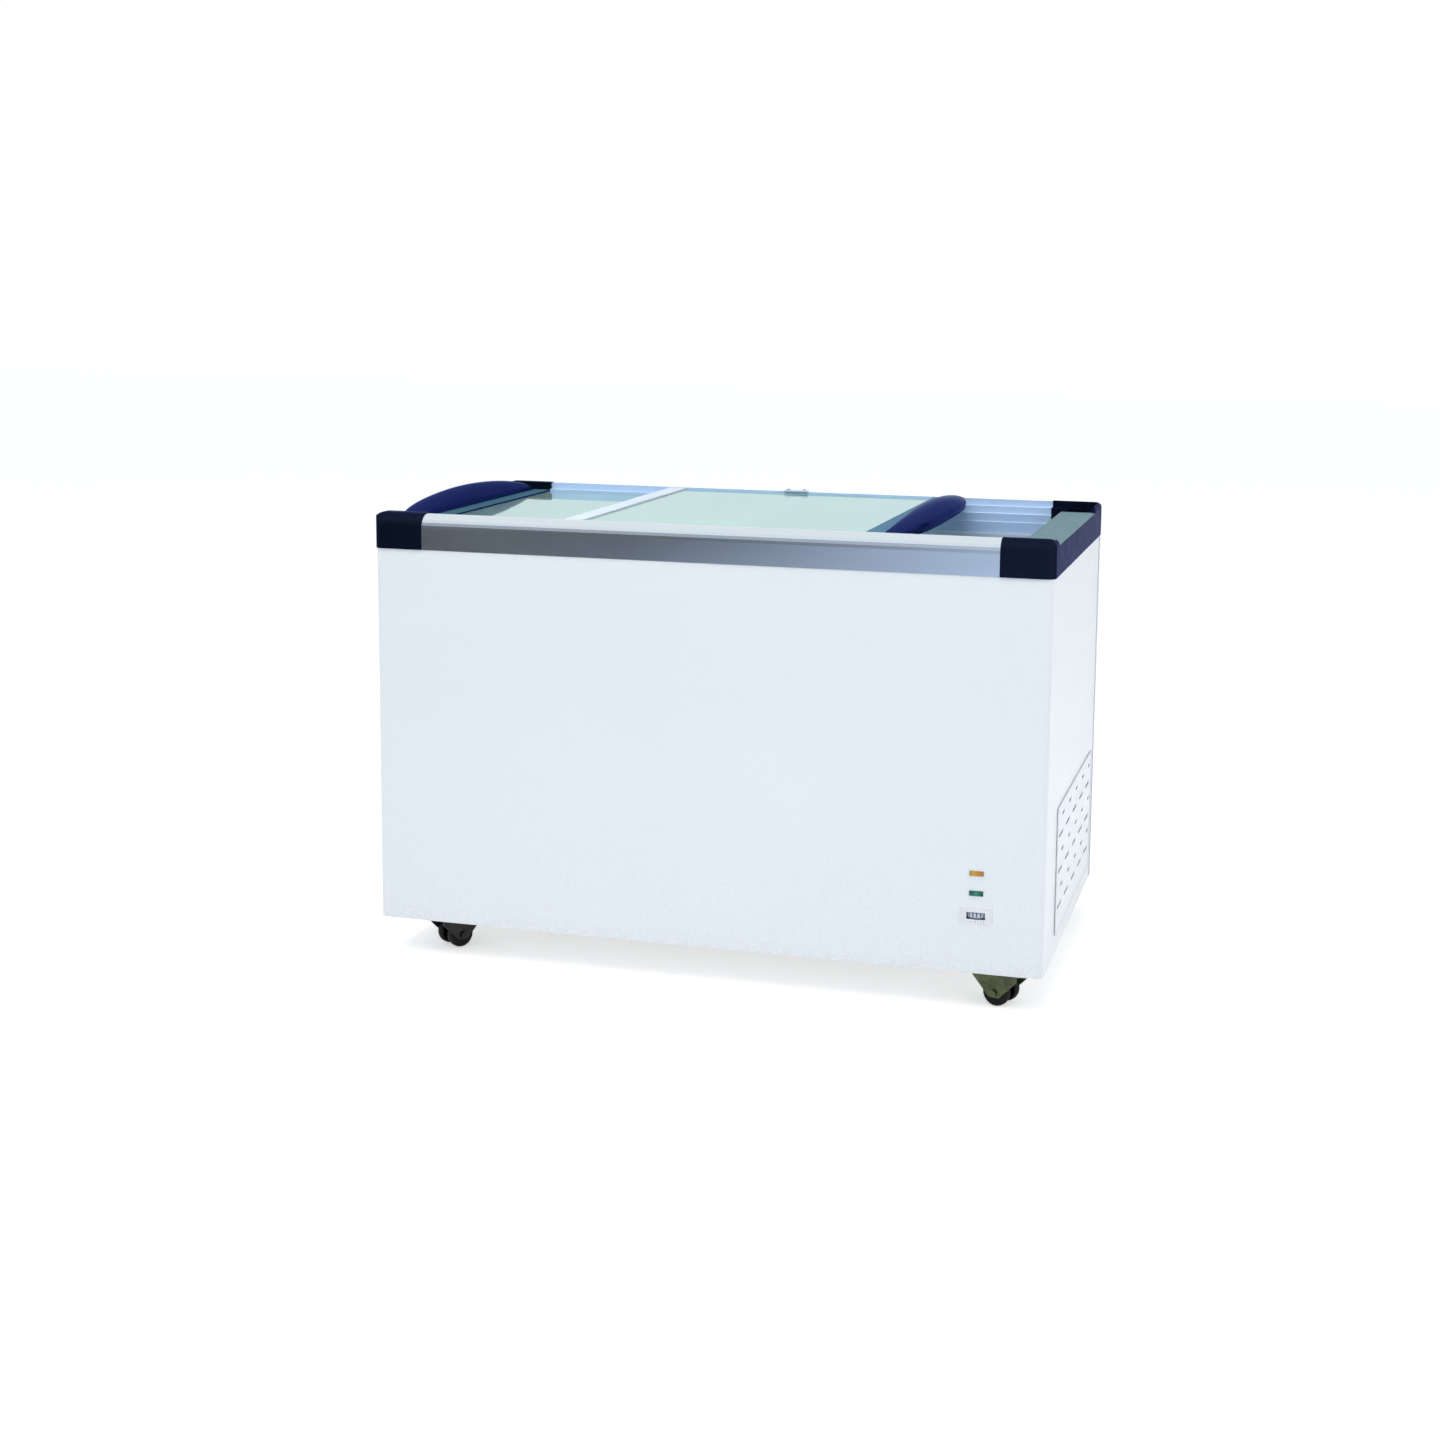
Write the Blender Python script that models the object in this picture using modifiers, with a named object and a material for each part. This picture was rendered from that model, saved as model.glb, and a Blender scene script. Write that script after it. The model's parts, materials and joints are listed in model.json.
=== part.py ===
"""Glass-topped chest freezer on twin-wheel casters, as separate parts with real clearances.

Metres, +Z up. The origin is on the floor under the middle of the cabinet, the front faces -Y
and +X is to the right of someone who stands in front of it.
"""
import math

import bmesh
import bpy
from mathutils import Matrix, Vector

# ---------------------------------------------------------------- overall sizes
CABINET_LENGTH = 1.250          # along X, over the painted sides
CABINET_DEPTH = 0.685           # along Y, front sheet to rear panel
CABINET_HEIGHT = 0.700          # bottom edge of the cabinet to the underside of the top frame
GAP = 0.0003                    # between pieces that touch
PAST = 0.010                    # cutters run past what they cut by this much

# ---------------------------------------------------------------- cabinet
SHEET = 0.001                   # painted steel sheet
SHELL_CORNER = 0.010            # radius of the two front vertical edges
REAR_FLANGE = 0.012             # rear panel's return over each side
PAN_WALL = 0.020                # upstand of the base pan
WALL_FOAM_X = 0.060             # insulated end walls
WALL_FOAM_Y = 0.056             # insulated front and rear walls
FLOOR_FOAM = 0.060              # insulation under the deep floor
LINER = 0.001
LINER_CORNER = 0.018
COLLAR = 0.004                  # plastic breaker frame round the mouth
MACHINE_LENGTH = 0.290          # compressor space along X, from the right side
MACHINE_HEIGHT = 0.285
SHELF_FOAM = 0.045              # insulation over the compressor space
DRAIN_RADIUS = 0.011
DRAIN_WALL = 0.002
DRAIN_BELOW = 0.006             # tube past the cabinet's bottom edge
DRAIN_FROM = (0.325, 0.1425)    # from the left side and the front
PLUG_RADIUS = 0.019
PLUG_HEAD = 0.0065
PLUG_CHAMFER = 0.003
PLUG_LENGTH = 0.014
LOUVRES = 6
LOUVRE_SIZE = (0.160, 0.007)
LOUVRE_PITCH = 0.022
LOUVRE_Z = 0.110                # lowest louvre over the cabinet's bottom edge

# ---------------------------------------------------------------- top frame
FRAME_OVERHANG = 0.003          # end caps stand proud of the cabinet by this much
CAP_PROUD = 0.0014              # cap over the rails
CAP_LENGTH = 0.095              # along the front, from the outer end to the rail
CAP_CORNER = 0.016              # plan radius of the outer corners
CAP_EDGE = 0.014                # rounding of the cap's end edge
CAP_SIDE = 0.068                # width of the cap beside the mouth
CAP_RIM = 0.0065                # thin rim outside the lid pocket
CAP_MOUTH_CORNER = 0.006        # plan radius of the inner corners
LOWERED_FRONT = 0.045           # stretch of rim that is cut down, from the front and the rear
LOWERED_REAR = 0.120
LOWERED_WIDTH = 0.030
FRONT_RISE = 0.005              # lengths of the slopes at its two ends
REAR_RISE = 0.040
RECESS_DEPTH = 0.012            # finger recess at the cap's rear corner
RECESS_LENGTH = 0.075
RECESS_RADIUS = 0.008
CAP_HOLLOW = 0.022              # depth of the moulding's hollow underside
CAP_WALL = 0.006
RAIL_OVERHANG = 0.0015
RAIL_ROUND = 0.025              # large radius along the top outer edge
RAIL_WALL = 0.0016
TRACK_INSET = 0.027             # cabinet face to the wall beside the upper lid
TRACK_LEDGE = 0.010             # width of each lid track
LOWER_LIP = 0.004               # narrow step under the lower track
LOWER_TRACK = 0.0383            # heights of the steps over the cabinet's top
LIP_HEIGHT = 0.022
LANDING_CLEARANCE = 0.0018      # end cap's landing over the track beside it
STOP_SIZE = (0.050, 0.014, 0.003)
STOP_X = 0.004
STOP_INWARD = 0.006             # clip's reach over the lids' rear edge
STOP_CLEARANCE = 0.0006         # upper lid under the clip
STOP_SCREW_RADIUS = 0.003
STOP_SCREW_INSET = 0.008
STOP_SCREW_PROUD = 0.0012

# ---------------------------------------------------------------- sliding lids
LID_OVERLAP = 0.027             # each lid passes the middle by this much when shut
LID_TRAVEL = 0.241              # the right lid stands open by this much
LID_SIDE_CLEARANCE = 0.0015
LID_END_CLEARANCE = 0.0015      # shut lid to the rim of its end cap
LID_CLEARANCE = 0.0013          # lower lid under the upper lid's track
GLASS = 0.004
RUNNER_HEIGHT = 0.0045
RUNNER_WIDTH = 0.008
STRIP_WIDTH = 0.034             # end strip along the inner end of a lid
CLAMP_LIP = 0.0030              # plastic over the glass
CLAMP_UNDER = 0.0025            # plastic under the glass
CLAMP_DEPTH = 0.015             # how far the glass goes into the plastic
HANDLE_WIDTH = 0.088
FLANGE_WIDTH = 0.034
LOWER_CREST = 0.0206            # crest of each handle over the top of the frame
UPPER_CREST = 0.0250
CREST_DROP = 0.0235             # the crest's fall from the middle to the ends
HANDLE_POWER = 3                # roundness of the handle's outline in plan

# ---------------------------------------------------------------- controls, from the front
CONTROL_INSET = 0.119           # from the right side
SWITCH_Z = 0.1795               # over the cabinet's bottom edge
LAMP_Z = 0.1440
THERMOSTAT_Z = 0.1035
SWITCH_LENGTH = 0.0245
SWITCH_HEIGHT = 0.0090
BEZEL_BORDER = 0.0022
BEZEL_THICKNESS = 0.0012
BEZEL_DEPTH = 0.012
BEZEL_WALL = 0.0012
ROCKER_PROUD = 0.0011           # left end over the bezel
ROCKER_CREST = 0.0008           # depths under the bezel's face: middle, right end, axis and back
ROCKER_SUNK = 0.0016
ROCKER_AXIS = 0.0025
ROCKER_BACK = 0.0075
ROCKER_EDGE = 0.0024            # thickness of its right end
ROCKER_FOOT = 0.005             # half length of its back
ROCKER_CLEARANCE = 0.00035      # room for its corners as it rocks
LENS_PROUD = 0.0008
LENS_SHORT = 0.001              # lens ends before its bezel's barrel by this much
DIAL_PLATE = (0.058, 0.025, 0.0015)
DIAL_SLOT = (0.0330, 0.0126)
DIAL_RADIUS = 0.020
DIAL_PROUD = 0.0026             # wheel's rim in front of the cabinet face
DIAL_THICKNESS = 0.0114
DIAL_RIBS = 18
DIAL_BORE = 0.004
DIAL_RIB = 0.0014               # depth of the grooves between the ribs
DIAL_CASE = (0.052, 0.028, 0.026)
DIAL_ARM = 0.005                # thickness of the arm under the wheel
DIAL_CASE_CLEARANCE = 0.002

# ---------------------------------------------------------------- side grille
GRILLE_FRONT = 0.141            # from the front face
GRILLE_LENGTH = 0.493
GRILLE_BOTTOM = 0.036
GRILLE_HEIGHT = 0.233
GRILLE_BORDER = 0.014
GRILLE_THICKNESS = 0.0014
SLOT_PITCH_Y = 0.0972
SLOT_PITCH_Z = 0.0332
SLOT_ROWS = 6
SLOT_COLUMNS = 5
SLOT_HEIGHT = 0.0065
LONG_SLOT = 0.055
SHORT_SLOT = 0.030
SHORT_SHIFT = 0.0255            # short slots stand behind the long ones by this much
SLOT_ROUND = 0.0032
GRILLE_CORNER = 0.004
FIRST_SLOT = (0.049, 0.044)     # centre of the lowest long slot, from the grille's corner

# ---------------------------------------------------------------- refrigeration
COMPRESSOR_RADIUS = 0.070
COMPRESSOR_HEIGHT = 0.150
COMPRESSOR_INSET = 0.1725       # its middle from the rear
COMPRESSOR_DOME = 0.55          # height of the dome over its radius
COMPRESSOR_FOOT = 0.020
PLATE_SIZE = (0.200, 0.150, 0.003)
GROMMET_RADIUS = 0.011
GROMMET_HEIGHT = 0.014
GROMMET_INSET = 0.016
RELAY_SIZE = (0.060, 0.028, 0.065)
RELAY_LIFT = 0.030
RELAY_CLEARANCE = 0.0006
CONDENSER = (0.060, 0.190, 0.190)
CONDENSER_FROM = (0.065, 0.2275)    # its middle from the right side and the front
CONDENSER_FOOT = 0.006
FIN_COUNT = 11
FIN = 0.0030
TUBE_HEIGHTS = (0.25, 0.75)     # shares of the condenser's height
FAN_RADIUS = 0.080
FAN_FRAME = 0.0015
FAN_CLEARANCE = 0.030           # plane of the fan frame before the condenser
FAN_OPENING = 0.006             # frame's opening round the blades
FAN_BLADES = 5
BLADE_PITCH = 24
BLADE_SIZE = (0.0024, 0.036)
HUB_RADIUS = 0.018
HUB_LENGTH = 0.016
HUB_CLEARANCE = 0.003
MOTOR_RADIUS = 0.030
MOTOR_LENGTH = 0.045
SHAFT_RADIUS = 0.004
SHAFT_REACH = 0.022
DRIER_RADIUS = 0.010
DRIER_LENGTH = 0.042
DRIER_SHOULDER = (0.005, 0.011)     # neck and cone, from each end
TUBE_STUB = 0.008               # condenser tubes past the fins
PIPE_RADIUS = 0.004
DISCHARGE_RADIUS = 0.003
GLAND_RADIUS = 0.009
GLAND_BORE = 0.005
GLAND_FLANGE = (0.003, 0.0022)
GLAND_DEPTH = 0.010
GLAND_FROM = (0.040, 0.060)     # from the bulkhead, and over the cabinet's bottom edge

# ---------------------------------------------------------------- casters
PIVOT_INSET = (0.100, 0.075)    # from the sides, and from the front and rear faces
WHEEL_RADIUS = 0.025
WHEEL_WIDTH = 0.016
WHEEL_SPACING = 0.034           # between the two tread centres
TRAIL = 0.020
AXLE_RADIUS = 0.004
FORK_LENGTH = 0.088
FORK_FOOT = 0.020               # width of the leg at the axle
FORK_SHEET = 0.0025
FORK_EDGE = 0.010               # depth of the leg's straight ends
FORK_DROP = 0.008               # leg's lowest edge under the axle
WHEEL_HEADROOM = 0.0095         # wheel under the fork
WHEEL_SIDE_CLEARANCE = 0.0012
RACE_HEIGHT = 0.0067            # fork to plate
RACE_CHAMFER = 0.002
HUB_SLEEVE = 0.008
TREAD_ROUND = (0.003, 0.005)    # depth and width of the tread's rounded edge
NUT_RADIUS = 0.0070
NUT_PROUD = 0.0045
CASTER_PLATE = (0.064, 0.064, 0.003)
RACE_RADIUS = 0.024
KINGPIN_RADIUS = 0.006
# how far each trailing fork is turned from +X, in degrees
CASTER_HEADINGS = {"front_left": 56, "front_right": -20, "rear_left": 118, "rear_right": 38}

# ---------------------------------------------------------------- derived places
HALF_LENGTH = CABINET_LENGTH / 2
HALF_DEPTH = CABINET_DEPTH / 2
FRONT = -HALF_DEPTH
FORK_TOP = 2 * WHEEL_RADIUS + WHEEL_HEADROOM + FORK_SHEET
BASE = FORK_TOP + RACE_HEIGHT + CASTER_PLATE[2] + GAP
TOP = BASE + CABINET_HEIGHT
LID_STACK = RUNNER_HEIGHT + GLASS + CLAMP_LIP + 3 * GAP
UPPER_TRACK = LOWER_TRACK + LID_STACK + LID_CLEARANCE
RAIL_HEIGHT = UPPER_TRACK + LID_STACK + STOP_CLEARANCE
CAP_HEIGHT = RAIL_HEIGHT + CAP_PROUD
CAP_OUTER_X = HALF_LENGTH + FRAME_OVERHANG
LID_LENGTH = CAP_OUTER_X - CAP_RIM - LID_END_CLEARANCE + LID_OVERLAP
CONTROL_X = HALF_LENGTH - CONTROL_INSET
BEZEL_FACE = FRONT - GAP - BEZEL_THICKNESS
DIAL_Y = FRONT - DIAL_PROUD + DIAL_RADIUS
CAP_INNER_X = CAP_OUTER_X - CAP_LENGTH
TRACK_END = TRACK_INSET + 2 * TRACK_LEDGE
RAIL_INNER = TRACK_END + LOWER_LIP
LINER_X = HALF_LENGTH - WALL_FOAM_X
LINER_Y = HALF_DEPTH - WALL_FOAM_Y
COLLAR_BOTTOM = TOP - COLLAR
LINER_TOP = COLLAR_BOTTOM - GAP
MACHINE_X = HALF_LENGTH - MACHINE_LENGTH
MACHINE_TOP = BASE + MACHINE_HEIGHT
SHELF_Z = MACHINE_TOP + SHELF_FOAM
SHELF_X = MACHINE_X - WALL_FOAM_X
FLOOR_Z = BASE + FLOOR_FOAM
PAN_TOP = BASE + SHEET
INSIDE = SHEET + GAP            # depth of the first free plane inside the shell
DRAIN_AT = (DRAIN_FROM[0] - HALF_LENGTH, FRONT + DRAIN_FROM[1])
COMPRESSOR_X = (MACHINE_X + HALF_LENGTH) / 2
COMPRESSOR_Y = HALF_DEPTH - COMPRESSOR_INSET
CONDENSER_X = HALF_LENGTH - CONDENSER_FROM[0]
CONDENSER_Y = FRONT + CONDENSER_FROM[1]
CONDENSER_LOW = PAN_TOP + GAP
FAN_X = CONDENSER_X - CONDENSER[0] / 2 - FAN_CLEARANCE
FAN_Z = CONDENSER_LOW + CONDENSER[2] / 2

TINTS = {                       # colour, roughness, metallic
    "body_white": ((0.84, 0.87, 0.89), 0.32, 0.0),
    "liner_white": ((0.66, 0.76, 0.88), 0.38, 0.0),
    "zinc": ((0.33, 0.34, 0.22), 0.38, 0.9),
    "foam": ((0.86, 0.78, 0.52), 0.85, 0.0),
    "white_plastic": ((0.82, 0.84, 0.86), 0.45, 0.0),
    "aluminium": ((0.62, 0.63, 0.66), 0.30, 1.0),
    "navy_plastic": ((0.01, 0.016, 0.045), 0.22, 0.0),
    "handle_plastic": ((0.028, 0.045, 0.24), 0.22, 0.0),
    "lid_glass": ((0.70, 0.88, 0.85), 0.04, 0.0),
    "pale_trim": ((0.80, 0.84, 0.90), 0.40, 0.0),
    "amber_plastic": ((0.62, 0.25, 0.03), 0.30, 0.0),
    "green_plastic": ((0.02, 0.20, 0.12), 0.25, 0.0),
    "dial_plastic": ((0.16, 0.20, 0.30), 0.45, 0.0),
    "black_steel": ((0.02, 0.02, 0.022), 0.40, 0.3),
    "black_plastic": ((0.02, 0.02, 0.02), 0.50, 0.0),
    "black_rubber": ((0.015, 0.015, 0.015), 0.75, 0.0),
    "copper": ((0.72, 0.33, 0.20), 0.35, 1.0),
}


# ---------------------------------------------------------------- scene and materials
def start_scene():
    for obj in list(bpy.data.objects):
        bpy.data.objects.remove(obj, do_unlink=True)
    parts = bpy.data.collections.new("chest_freezer")
    tools = bpy.data.collections.new("cutters")
    for collection in (parts, tools):
        bpy.context.scene.collection.children.link(collection)
    return parts, tools


PARTS, TOOLS = start_scene()


def give_material(obj, tint):
    colour, roughness, metallic = TINTS[tint]
    material = bpy.data.materials.new(obj.name + "_" + tint)
    material.use_nodes = True
    shader = material.node_tree.nodes["Principled BSDF"]
    shader.inputs["Base Color"].default_value = (*colour, 1)
    shader.inputs["Roughness"].default_value = roughness
    shader.inputs["Metallic"].default_value = metallic
    obj.data.materials.clear()
    obj.data.materials.append(material)


def add_object(name, mesh, tint):
    """A part goes in the freezer's collection; a tool, which has no tint, with the cutters."""
    obj = bpy.data.objects.new(name, mesh)
    if tint:
        PARTS.objects.link(obj)
        give_material(obj, tint)
    else:
        TOOLS.objects.link(obj)
        obj.hide_render = True
        obj.display_type = "WIRE"
    return obj


def smooth(obj, angle=35):
    obj.data.shade_smooth()
    obj.data.set_sharp_from_angle(angle=math.radians(angle))


# ---------------------------------------------------------------- shapes
def box(name, low, high, tint=None, edge=0.0):
    work = bmesh.new()
    bmesh.ops.create_cube(work, size=1)
    for vertex in work.verts:
        for i in range(3):
            vertex.co[i] = (low[i] + high[i]) / 2 + vertex.co[i] * (high[i] - low[i])
    mesh = bpy.data.meshes.new(name)
    work.to_mesh(mesh)
    work.free()
    obj = add_object(name, mesh, tint)
    if edge:
        bevel(obj, edge)
    return obj


def bevel(obj, width, segments=2, angle=40):
    modifier = obj.modifiers.new("rounded_edges", "BEVEL")
    modifier.width = width
    modifier.segments = segments
    modifier.limit_method = "ANGLE"
    modifier.angle_limit = math.radians(angle)


def rod(name, radius, start, end, tint=None, sides=24):
    """A cylinder between two points; six sides make a hexagon nut."""
    start, end = Vector(start), Vector(end)
    work = bmesh.new()
    bmesh.ops.create_cone(work, cap_ends=True, segments=sides, radius1=radius, radius2=radius,
                          depth=(end - start).length)
    turn = (end - start).to_track_quat("Z", "Y").to_matrix().to_4x4()
    bmesh.ops.transform(work, matrix=Matrix.Translation((start + end) / 2) @ turn,
                        verts=work.verts)
    mesh = bpy.data.meshes.new(name)
    work.to_mesh(mesh)
    work.free()
    obj = add_object(name, mesh, tint)
    smooth(obj)
    return obj


def mesh_from_curve(curve_object, tint):
    """Replaces a curve object by its welded mesh, so that it can be cut and joined."""
    name = curve_object.name
    curve_object.name = name + "_curve"
    evaluated = curve_object.evaluated_get(bpy.context.evaluated_depsgraph_get())
    mesh = bpy.data.meshes.new_from_object(evaluated)
    work = bmesh.new()
    work.from_mesh(mesh)
    bmesh.ops.remove_doubles(work, verts=work.verts, dist=0.00001)
    bmesh.ops.recalc_face_normals(work, faces=work.faces)
    work.to_mesh(mesh)
    work.free()
    obj = add_object(name, mesh, tint)
    obj.matrix_world = curve_object.matrix_world.copy()
    bpy.data.objects.remove(curve_object, do_unlink=True)
    return obj


def prism(name, loops, plane, low, high, tint=None):
    """A flat outline, with holes where it has more loops, raised from low to high.

    plane "XY" rises along Z, "YZ" along X and "XZ" along Y.
    """
    curve = bpy.data.curves.new(name, "CURVE")
    curve.dimensions = "2D"
    curve.fill_mode = "BOTH"
    curve.extrude = (high - low) / 2
    for loop in loops:
        spline = curve.splines.new("POLY")
        spline.points.add(len(loop) - 1)
        spline.use_cyclic_u = True
        for point, (u, v) in zip(spline.points, loop):
            point.co = (u, v, 0, 1)
    obj = bpy.data.objects.new(name, curve)
    PARTS.objects.link(obj)
    middle = (low + high) / 2
    columns = {"XY": ((1, 0, 0), (0, 1, 0), (0, 0, 1)),
               "YZ": ((0, 1, 0), (0, 0, 1), (1, 0, 0)),
               "XZ": ((1, 0, 0), (0, 0, 1), (0, -1, 0))}[plane]
    turn = Matrix(columns).transposed().to_4x4()
    shift = {"XY": (0, 0, middle), "YZ": (middle, 0, 0), "XZ": (0, middle, 0)}[plane]
    obj.matrix_world = Matrix.Translation(shift) @ turn
    bpy.context.view_layer.update()
    return mesh_from_curve(obj, tint)


def turned(name, profile, tint=None, steps=32, ring=False):
    """Turns a profile of (radius, height) about Z; a ring's profile closes on itself."""
    count = len(profile)
    edges = [(i, (i + 1) % count) for i in range(count if ring else count - 1)]
    mesh = bpy.data.meshes.new(name)
    mesh.from_pydata([(r, 0, z) for r, z in profile], edges, [])
    obj = add_object(name, mesh, tint)
    screw = obj.modifiers.new("turned", "SCREW")
    screw.steps = screw.render_steps = steps
    screw.use_merge_vertices = True
    screw.merge_threshold = 0.00001
    screw.use_smooth_shade = True
    return obj


def pipe(name, points, radius, tint):
    """A round tube along a poly line, with filled ends."""
    curve = bpy.data.curves.new(name, "CURVE")
    curve.dimensions = "3D"
    curve.bevel_depth = radius
    curve.bevel_resolution = 2
    curve.use_fill_caps = True
    spline = curve.splines.new("POLY")
    spline.points.add(len(points) - 1)
    for point, place in zip(spline.points, points):
        point.co = (*place, 1)
    obj = bpy.data.objects.new(name, curve)
    PARTS.objects.link(obj)
    bpy.context.view_layer.update()
    return mesh_from_curve(obj, tint)


def combine(obj, other, operation):
    modifier = obj.modifiers.new(operation.lower(), "BOOLEAN")
    modifier.operation = operation
    modifier.object = other


def put_origin(obj, place):
    """Moves an object's origin to a point on its joint's axis and leaves its shape in place."""
    shift = Matrix.Translation(obj.matrix_world.inverted() @ Vector(place))
    obj.data.transform(shift.inverted())
    obj.matrix_world = obj.matrix_world @ shift


def cut(obj, *tools):
    for tool in tools:
        combine(obj, tool, "DIFFERENCE")


def join(obj, *tools):
    for tool in tools:
        combine(obj, tool, "UNION")


# ---------------------------------------------------------------- outlines
def arc(centre, radius, start, end, steps):
    """Points on an arc, with its angles in degrees."""
    angles = [math.radians(start + (end - start) * i / steps) for i in range(steps + 1)]
    return [(centre[0] + radius * math.cos(a), centre[1] + radius * math.sin(a)) for a in angles]


def rounded(points, radii, steps=5):
    """A closed outline with each corner rounded by its own radius; 0 keeps it sharp."""
    outline = []
    for i, point in enumerate(points):
        corner, radius = Vector(point), radii[i]
        before = (Vector(points[i - 1]) - corner).normalized()
        after = (Vector(points[(i + 1) % len(points)]) - corner).normalized()
        if radius == 0:
            outline.append(tuple(corner))
            continue
        half = before.angle(after) / 2
        centre = corner + (before + after).normalized() * radius / math.sin(half)
        first = corner + before * radius / math.tan(half) - centre
        last = corner + after * radius / math.tan(half) - centre
        sweep = first.angle_signed(last)
        for k in range(steps + 1):
            angle = -sweep * k / steps
            c, s = math.cos(angle), math.sin(angle)
            outline.append((centre.x + first.x * c - first.y * s,
                            centre.y + first.x * s + first.y * c))
    return outline


def rectangle(low, high, radius=0.0, steps=4):
    corners = [(low[0], low[1]), (high[0], low[1]), (high[0], high[1]), (low[0], high[1])]
    return rounded(corners, [radius] * 4, steps)


def strip(path, thickness):
    """The closed outline of a sheet whose left side follows path and which lies to its right."""
    inner = []
    for i, point in enumerate(path):
        here = Vector(point)
        sides = []
        if i > 0:
            sides.append((here - Vector(path[i - 1])).normalized())
        if i < len(path) - 1:
            sides.append((Vector(path[i + 1]) - here).normalized())
        normals = [Vector((side.y, -side.x)) for side in sides]
        middle = (normals[0] + normals[-1]).normalized()
        inner.append(tuple(here + middle * thickness / middle.dot(normals[0])))
    return path + inner[::-1]


# ---------------------------------------------------------------- cabinet
def shell_path(offset):
    """Left side, front and right side of the shell in plan, at a depth inside its outer face."""
    side = HALF_LENGTH - offset
    radius = SHELL_CORNER - offset
    rear = HALF_DEPTH - INSIDE
    left = arc((-HALF_LENGTH + SHELL_CORNER, FRONT + SHELL_CORNER), radius, 180, 270, 6)
    right = arc((HALF_LENGTH - SHELL_CORNER, FRONT + SHELL_CORNER), radius, 270, 360, 6)
    return [(-side, rear)] + left + right + [(side, rear)]


def control_cutters():
    """Cutters through the front for the three controls."""
    half = SWITCH_LENGTH / 2 + BEZEL_WALL + 2 * GAP
    tall = SWITCH_HEIGHT / 2 + BEZEL_WALL + 2 * GAP
    sizes = {"switch": (SWITCH_Z, half, tall), "lamp": (LAMP_Z, half, tall),
             "dial": (THERMOSTAT_Z, DIAL_SLOT[0] / 2, DIAL_SLOT[1] / 2)}
    return [box("shell_hole_" + key, (CONTROL_X - wide, FRONT - PAST, BASE + z - high),
                (CONTROL_X + wide, FRONT + PAST, BASE + z + high))
            for key, (z, wide, high) in sizes.items()]


def make_outer_shell():
    outline = shell_path(0) + shell_path(SHEET)[::-1]
    shell = prism("outer_shell", [outline], "XY", BASE, TOP, "body_white")
    y, z = FRONT + GRILLE_FRONT, BASE + GRILLE_BOTTOM
    window = box("grille_window", (HALF_LENGTH - PAST, y + GRILLE_BORDER, z + GRILLE_BORDER),
                 (HALF_LENGTH + PAST, y + GRILLE_LENGTH - GRILLE_BORDER,
                  z + GRILLE_HEIGHT - GRILLE_BORDER))
    cut(shell, window, *control_cutters())
    smooth(shell)


def make_rear_panel():
    side = HALF_LENGTH + GAP + SHEET
    path = [(side, HALF_DEPTH - REAR_FLANGE), (side, HALF_DEPTH),
            (-side, HALF_DEPTH), (-side, HALF_DEPTH - REAR_FLANGE)]
    panel = prism("rear_panel", [strip(path, -SHEET)], "XY", BASE, TOP, "body_white")
    half = LOUVRE_SIZE[0] / 2
    for row in range(LOUVRES):
        z = BASE + LOUVRE_Z + row * LOUVRE_PITCH
        cut(panel, box("louvre_%d" % row, (COMPRESSOR_X - half, HALF_DEPTH - PAST, z),
                       (COMPRESSOR_X + half, HALF_DEPTH + PAST, z + LOUVRE_SIZE[1])))
    x, y, z = gland_place()
    cut(panel, rod("gland_hole", GLAND_RADIUS + GAP, (x, y - PAST, z), (x, y + PAST, z)))


def gland_place():
    return Vector((MACHINE_X + GLAND_FROM[0], HALF_DEPTH, BASE + GLAND_FROM[1]))


def inside_outline(offset):
    """The cabinet's plan at a depth inside its outer face, closed along the rear."""
    x, y = HALF_LENGTH - offset, HALF_DEPTH - offset
    radius = max(SHELL_CORNER - offset, 0.001)
    return rounded([(-x, -y), (x, -y), (x, y), (-x, y)], [radius, radius, 0, 0], 6)


def make_base_pan():
    wall = 2 * SHEET + GAP
    pan = prism("base_pan", [inside_outline(INSIDE)], "XY", BASE, BASE + PAN_WALL, "zinc")
    hollow = prism("pan_hollow", [inside_outline(wall)], "XY", PAN_TOP, BASE + 2 * PAN_WALL)
    cut(pan, hollow, drain_cutter("pan_drain", GAP))


def drain_cutter(name, clearance):
    x, y = DRAIN_AT
    return rod(name, DRAIN_RADIUS + clearance, (x, y, BASE - PAST), (x, y, FLOOR_Z + PAST))


def make_machine_bulkhead():
    """Bent sheet that keeps the foam out of the compressor space."""
    inset = SHEET + SHELL_CORNER * 0.4
    side = HALF_LENGTH - inset
    path = [(MACHINE_X, PAN_TOP + GAP), (MACHINE_X, MACHINE_TOP), (side, MACHINE_TOP)]
    reach = HALF_DEPTH - inset
    prism("machine_bulkhead", [strip(path, SHEET)], "XZ", -reach, reach, "zinc")


def liner_outline(offset):
    """Side view of the inside of the tub, with its shelf over the compressor."""
    return [(-LINER_X - offset, LINER_TOP), (-LINER_X - offset, FLOOR_Z - offset),
            (SHELF_X + offset, FLOOR_Z - offset), (SHELF_X + offset, SHELF_Z - offset),
            (LINER_X + offset, SHELF_Z - offset), (LINER_X + offset, LINER_TOP)]


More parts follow.
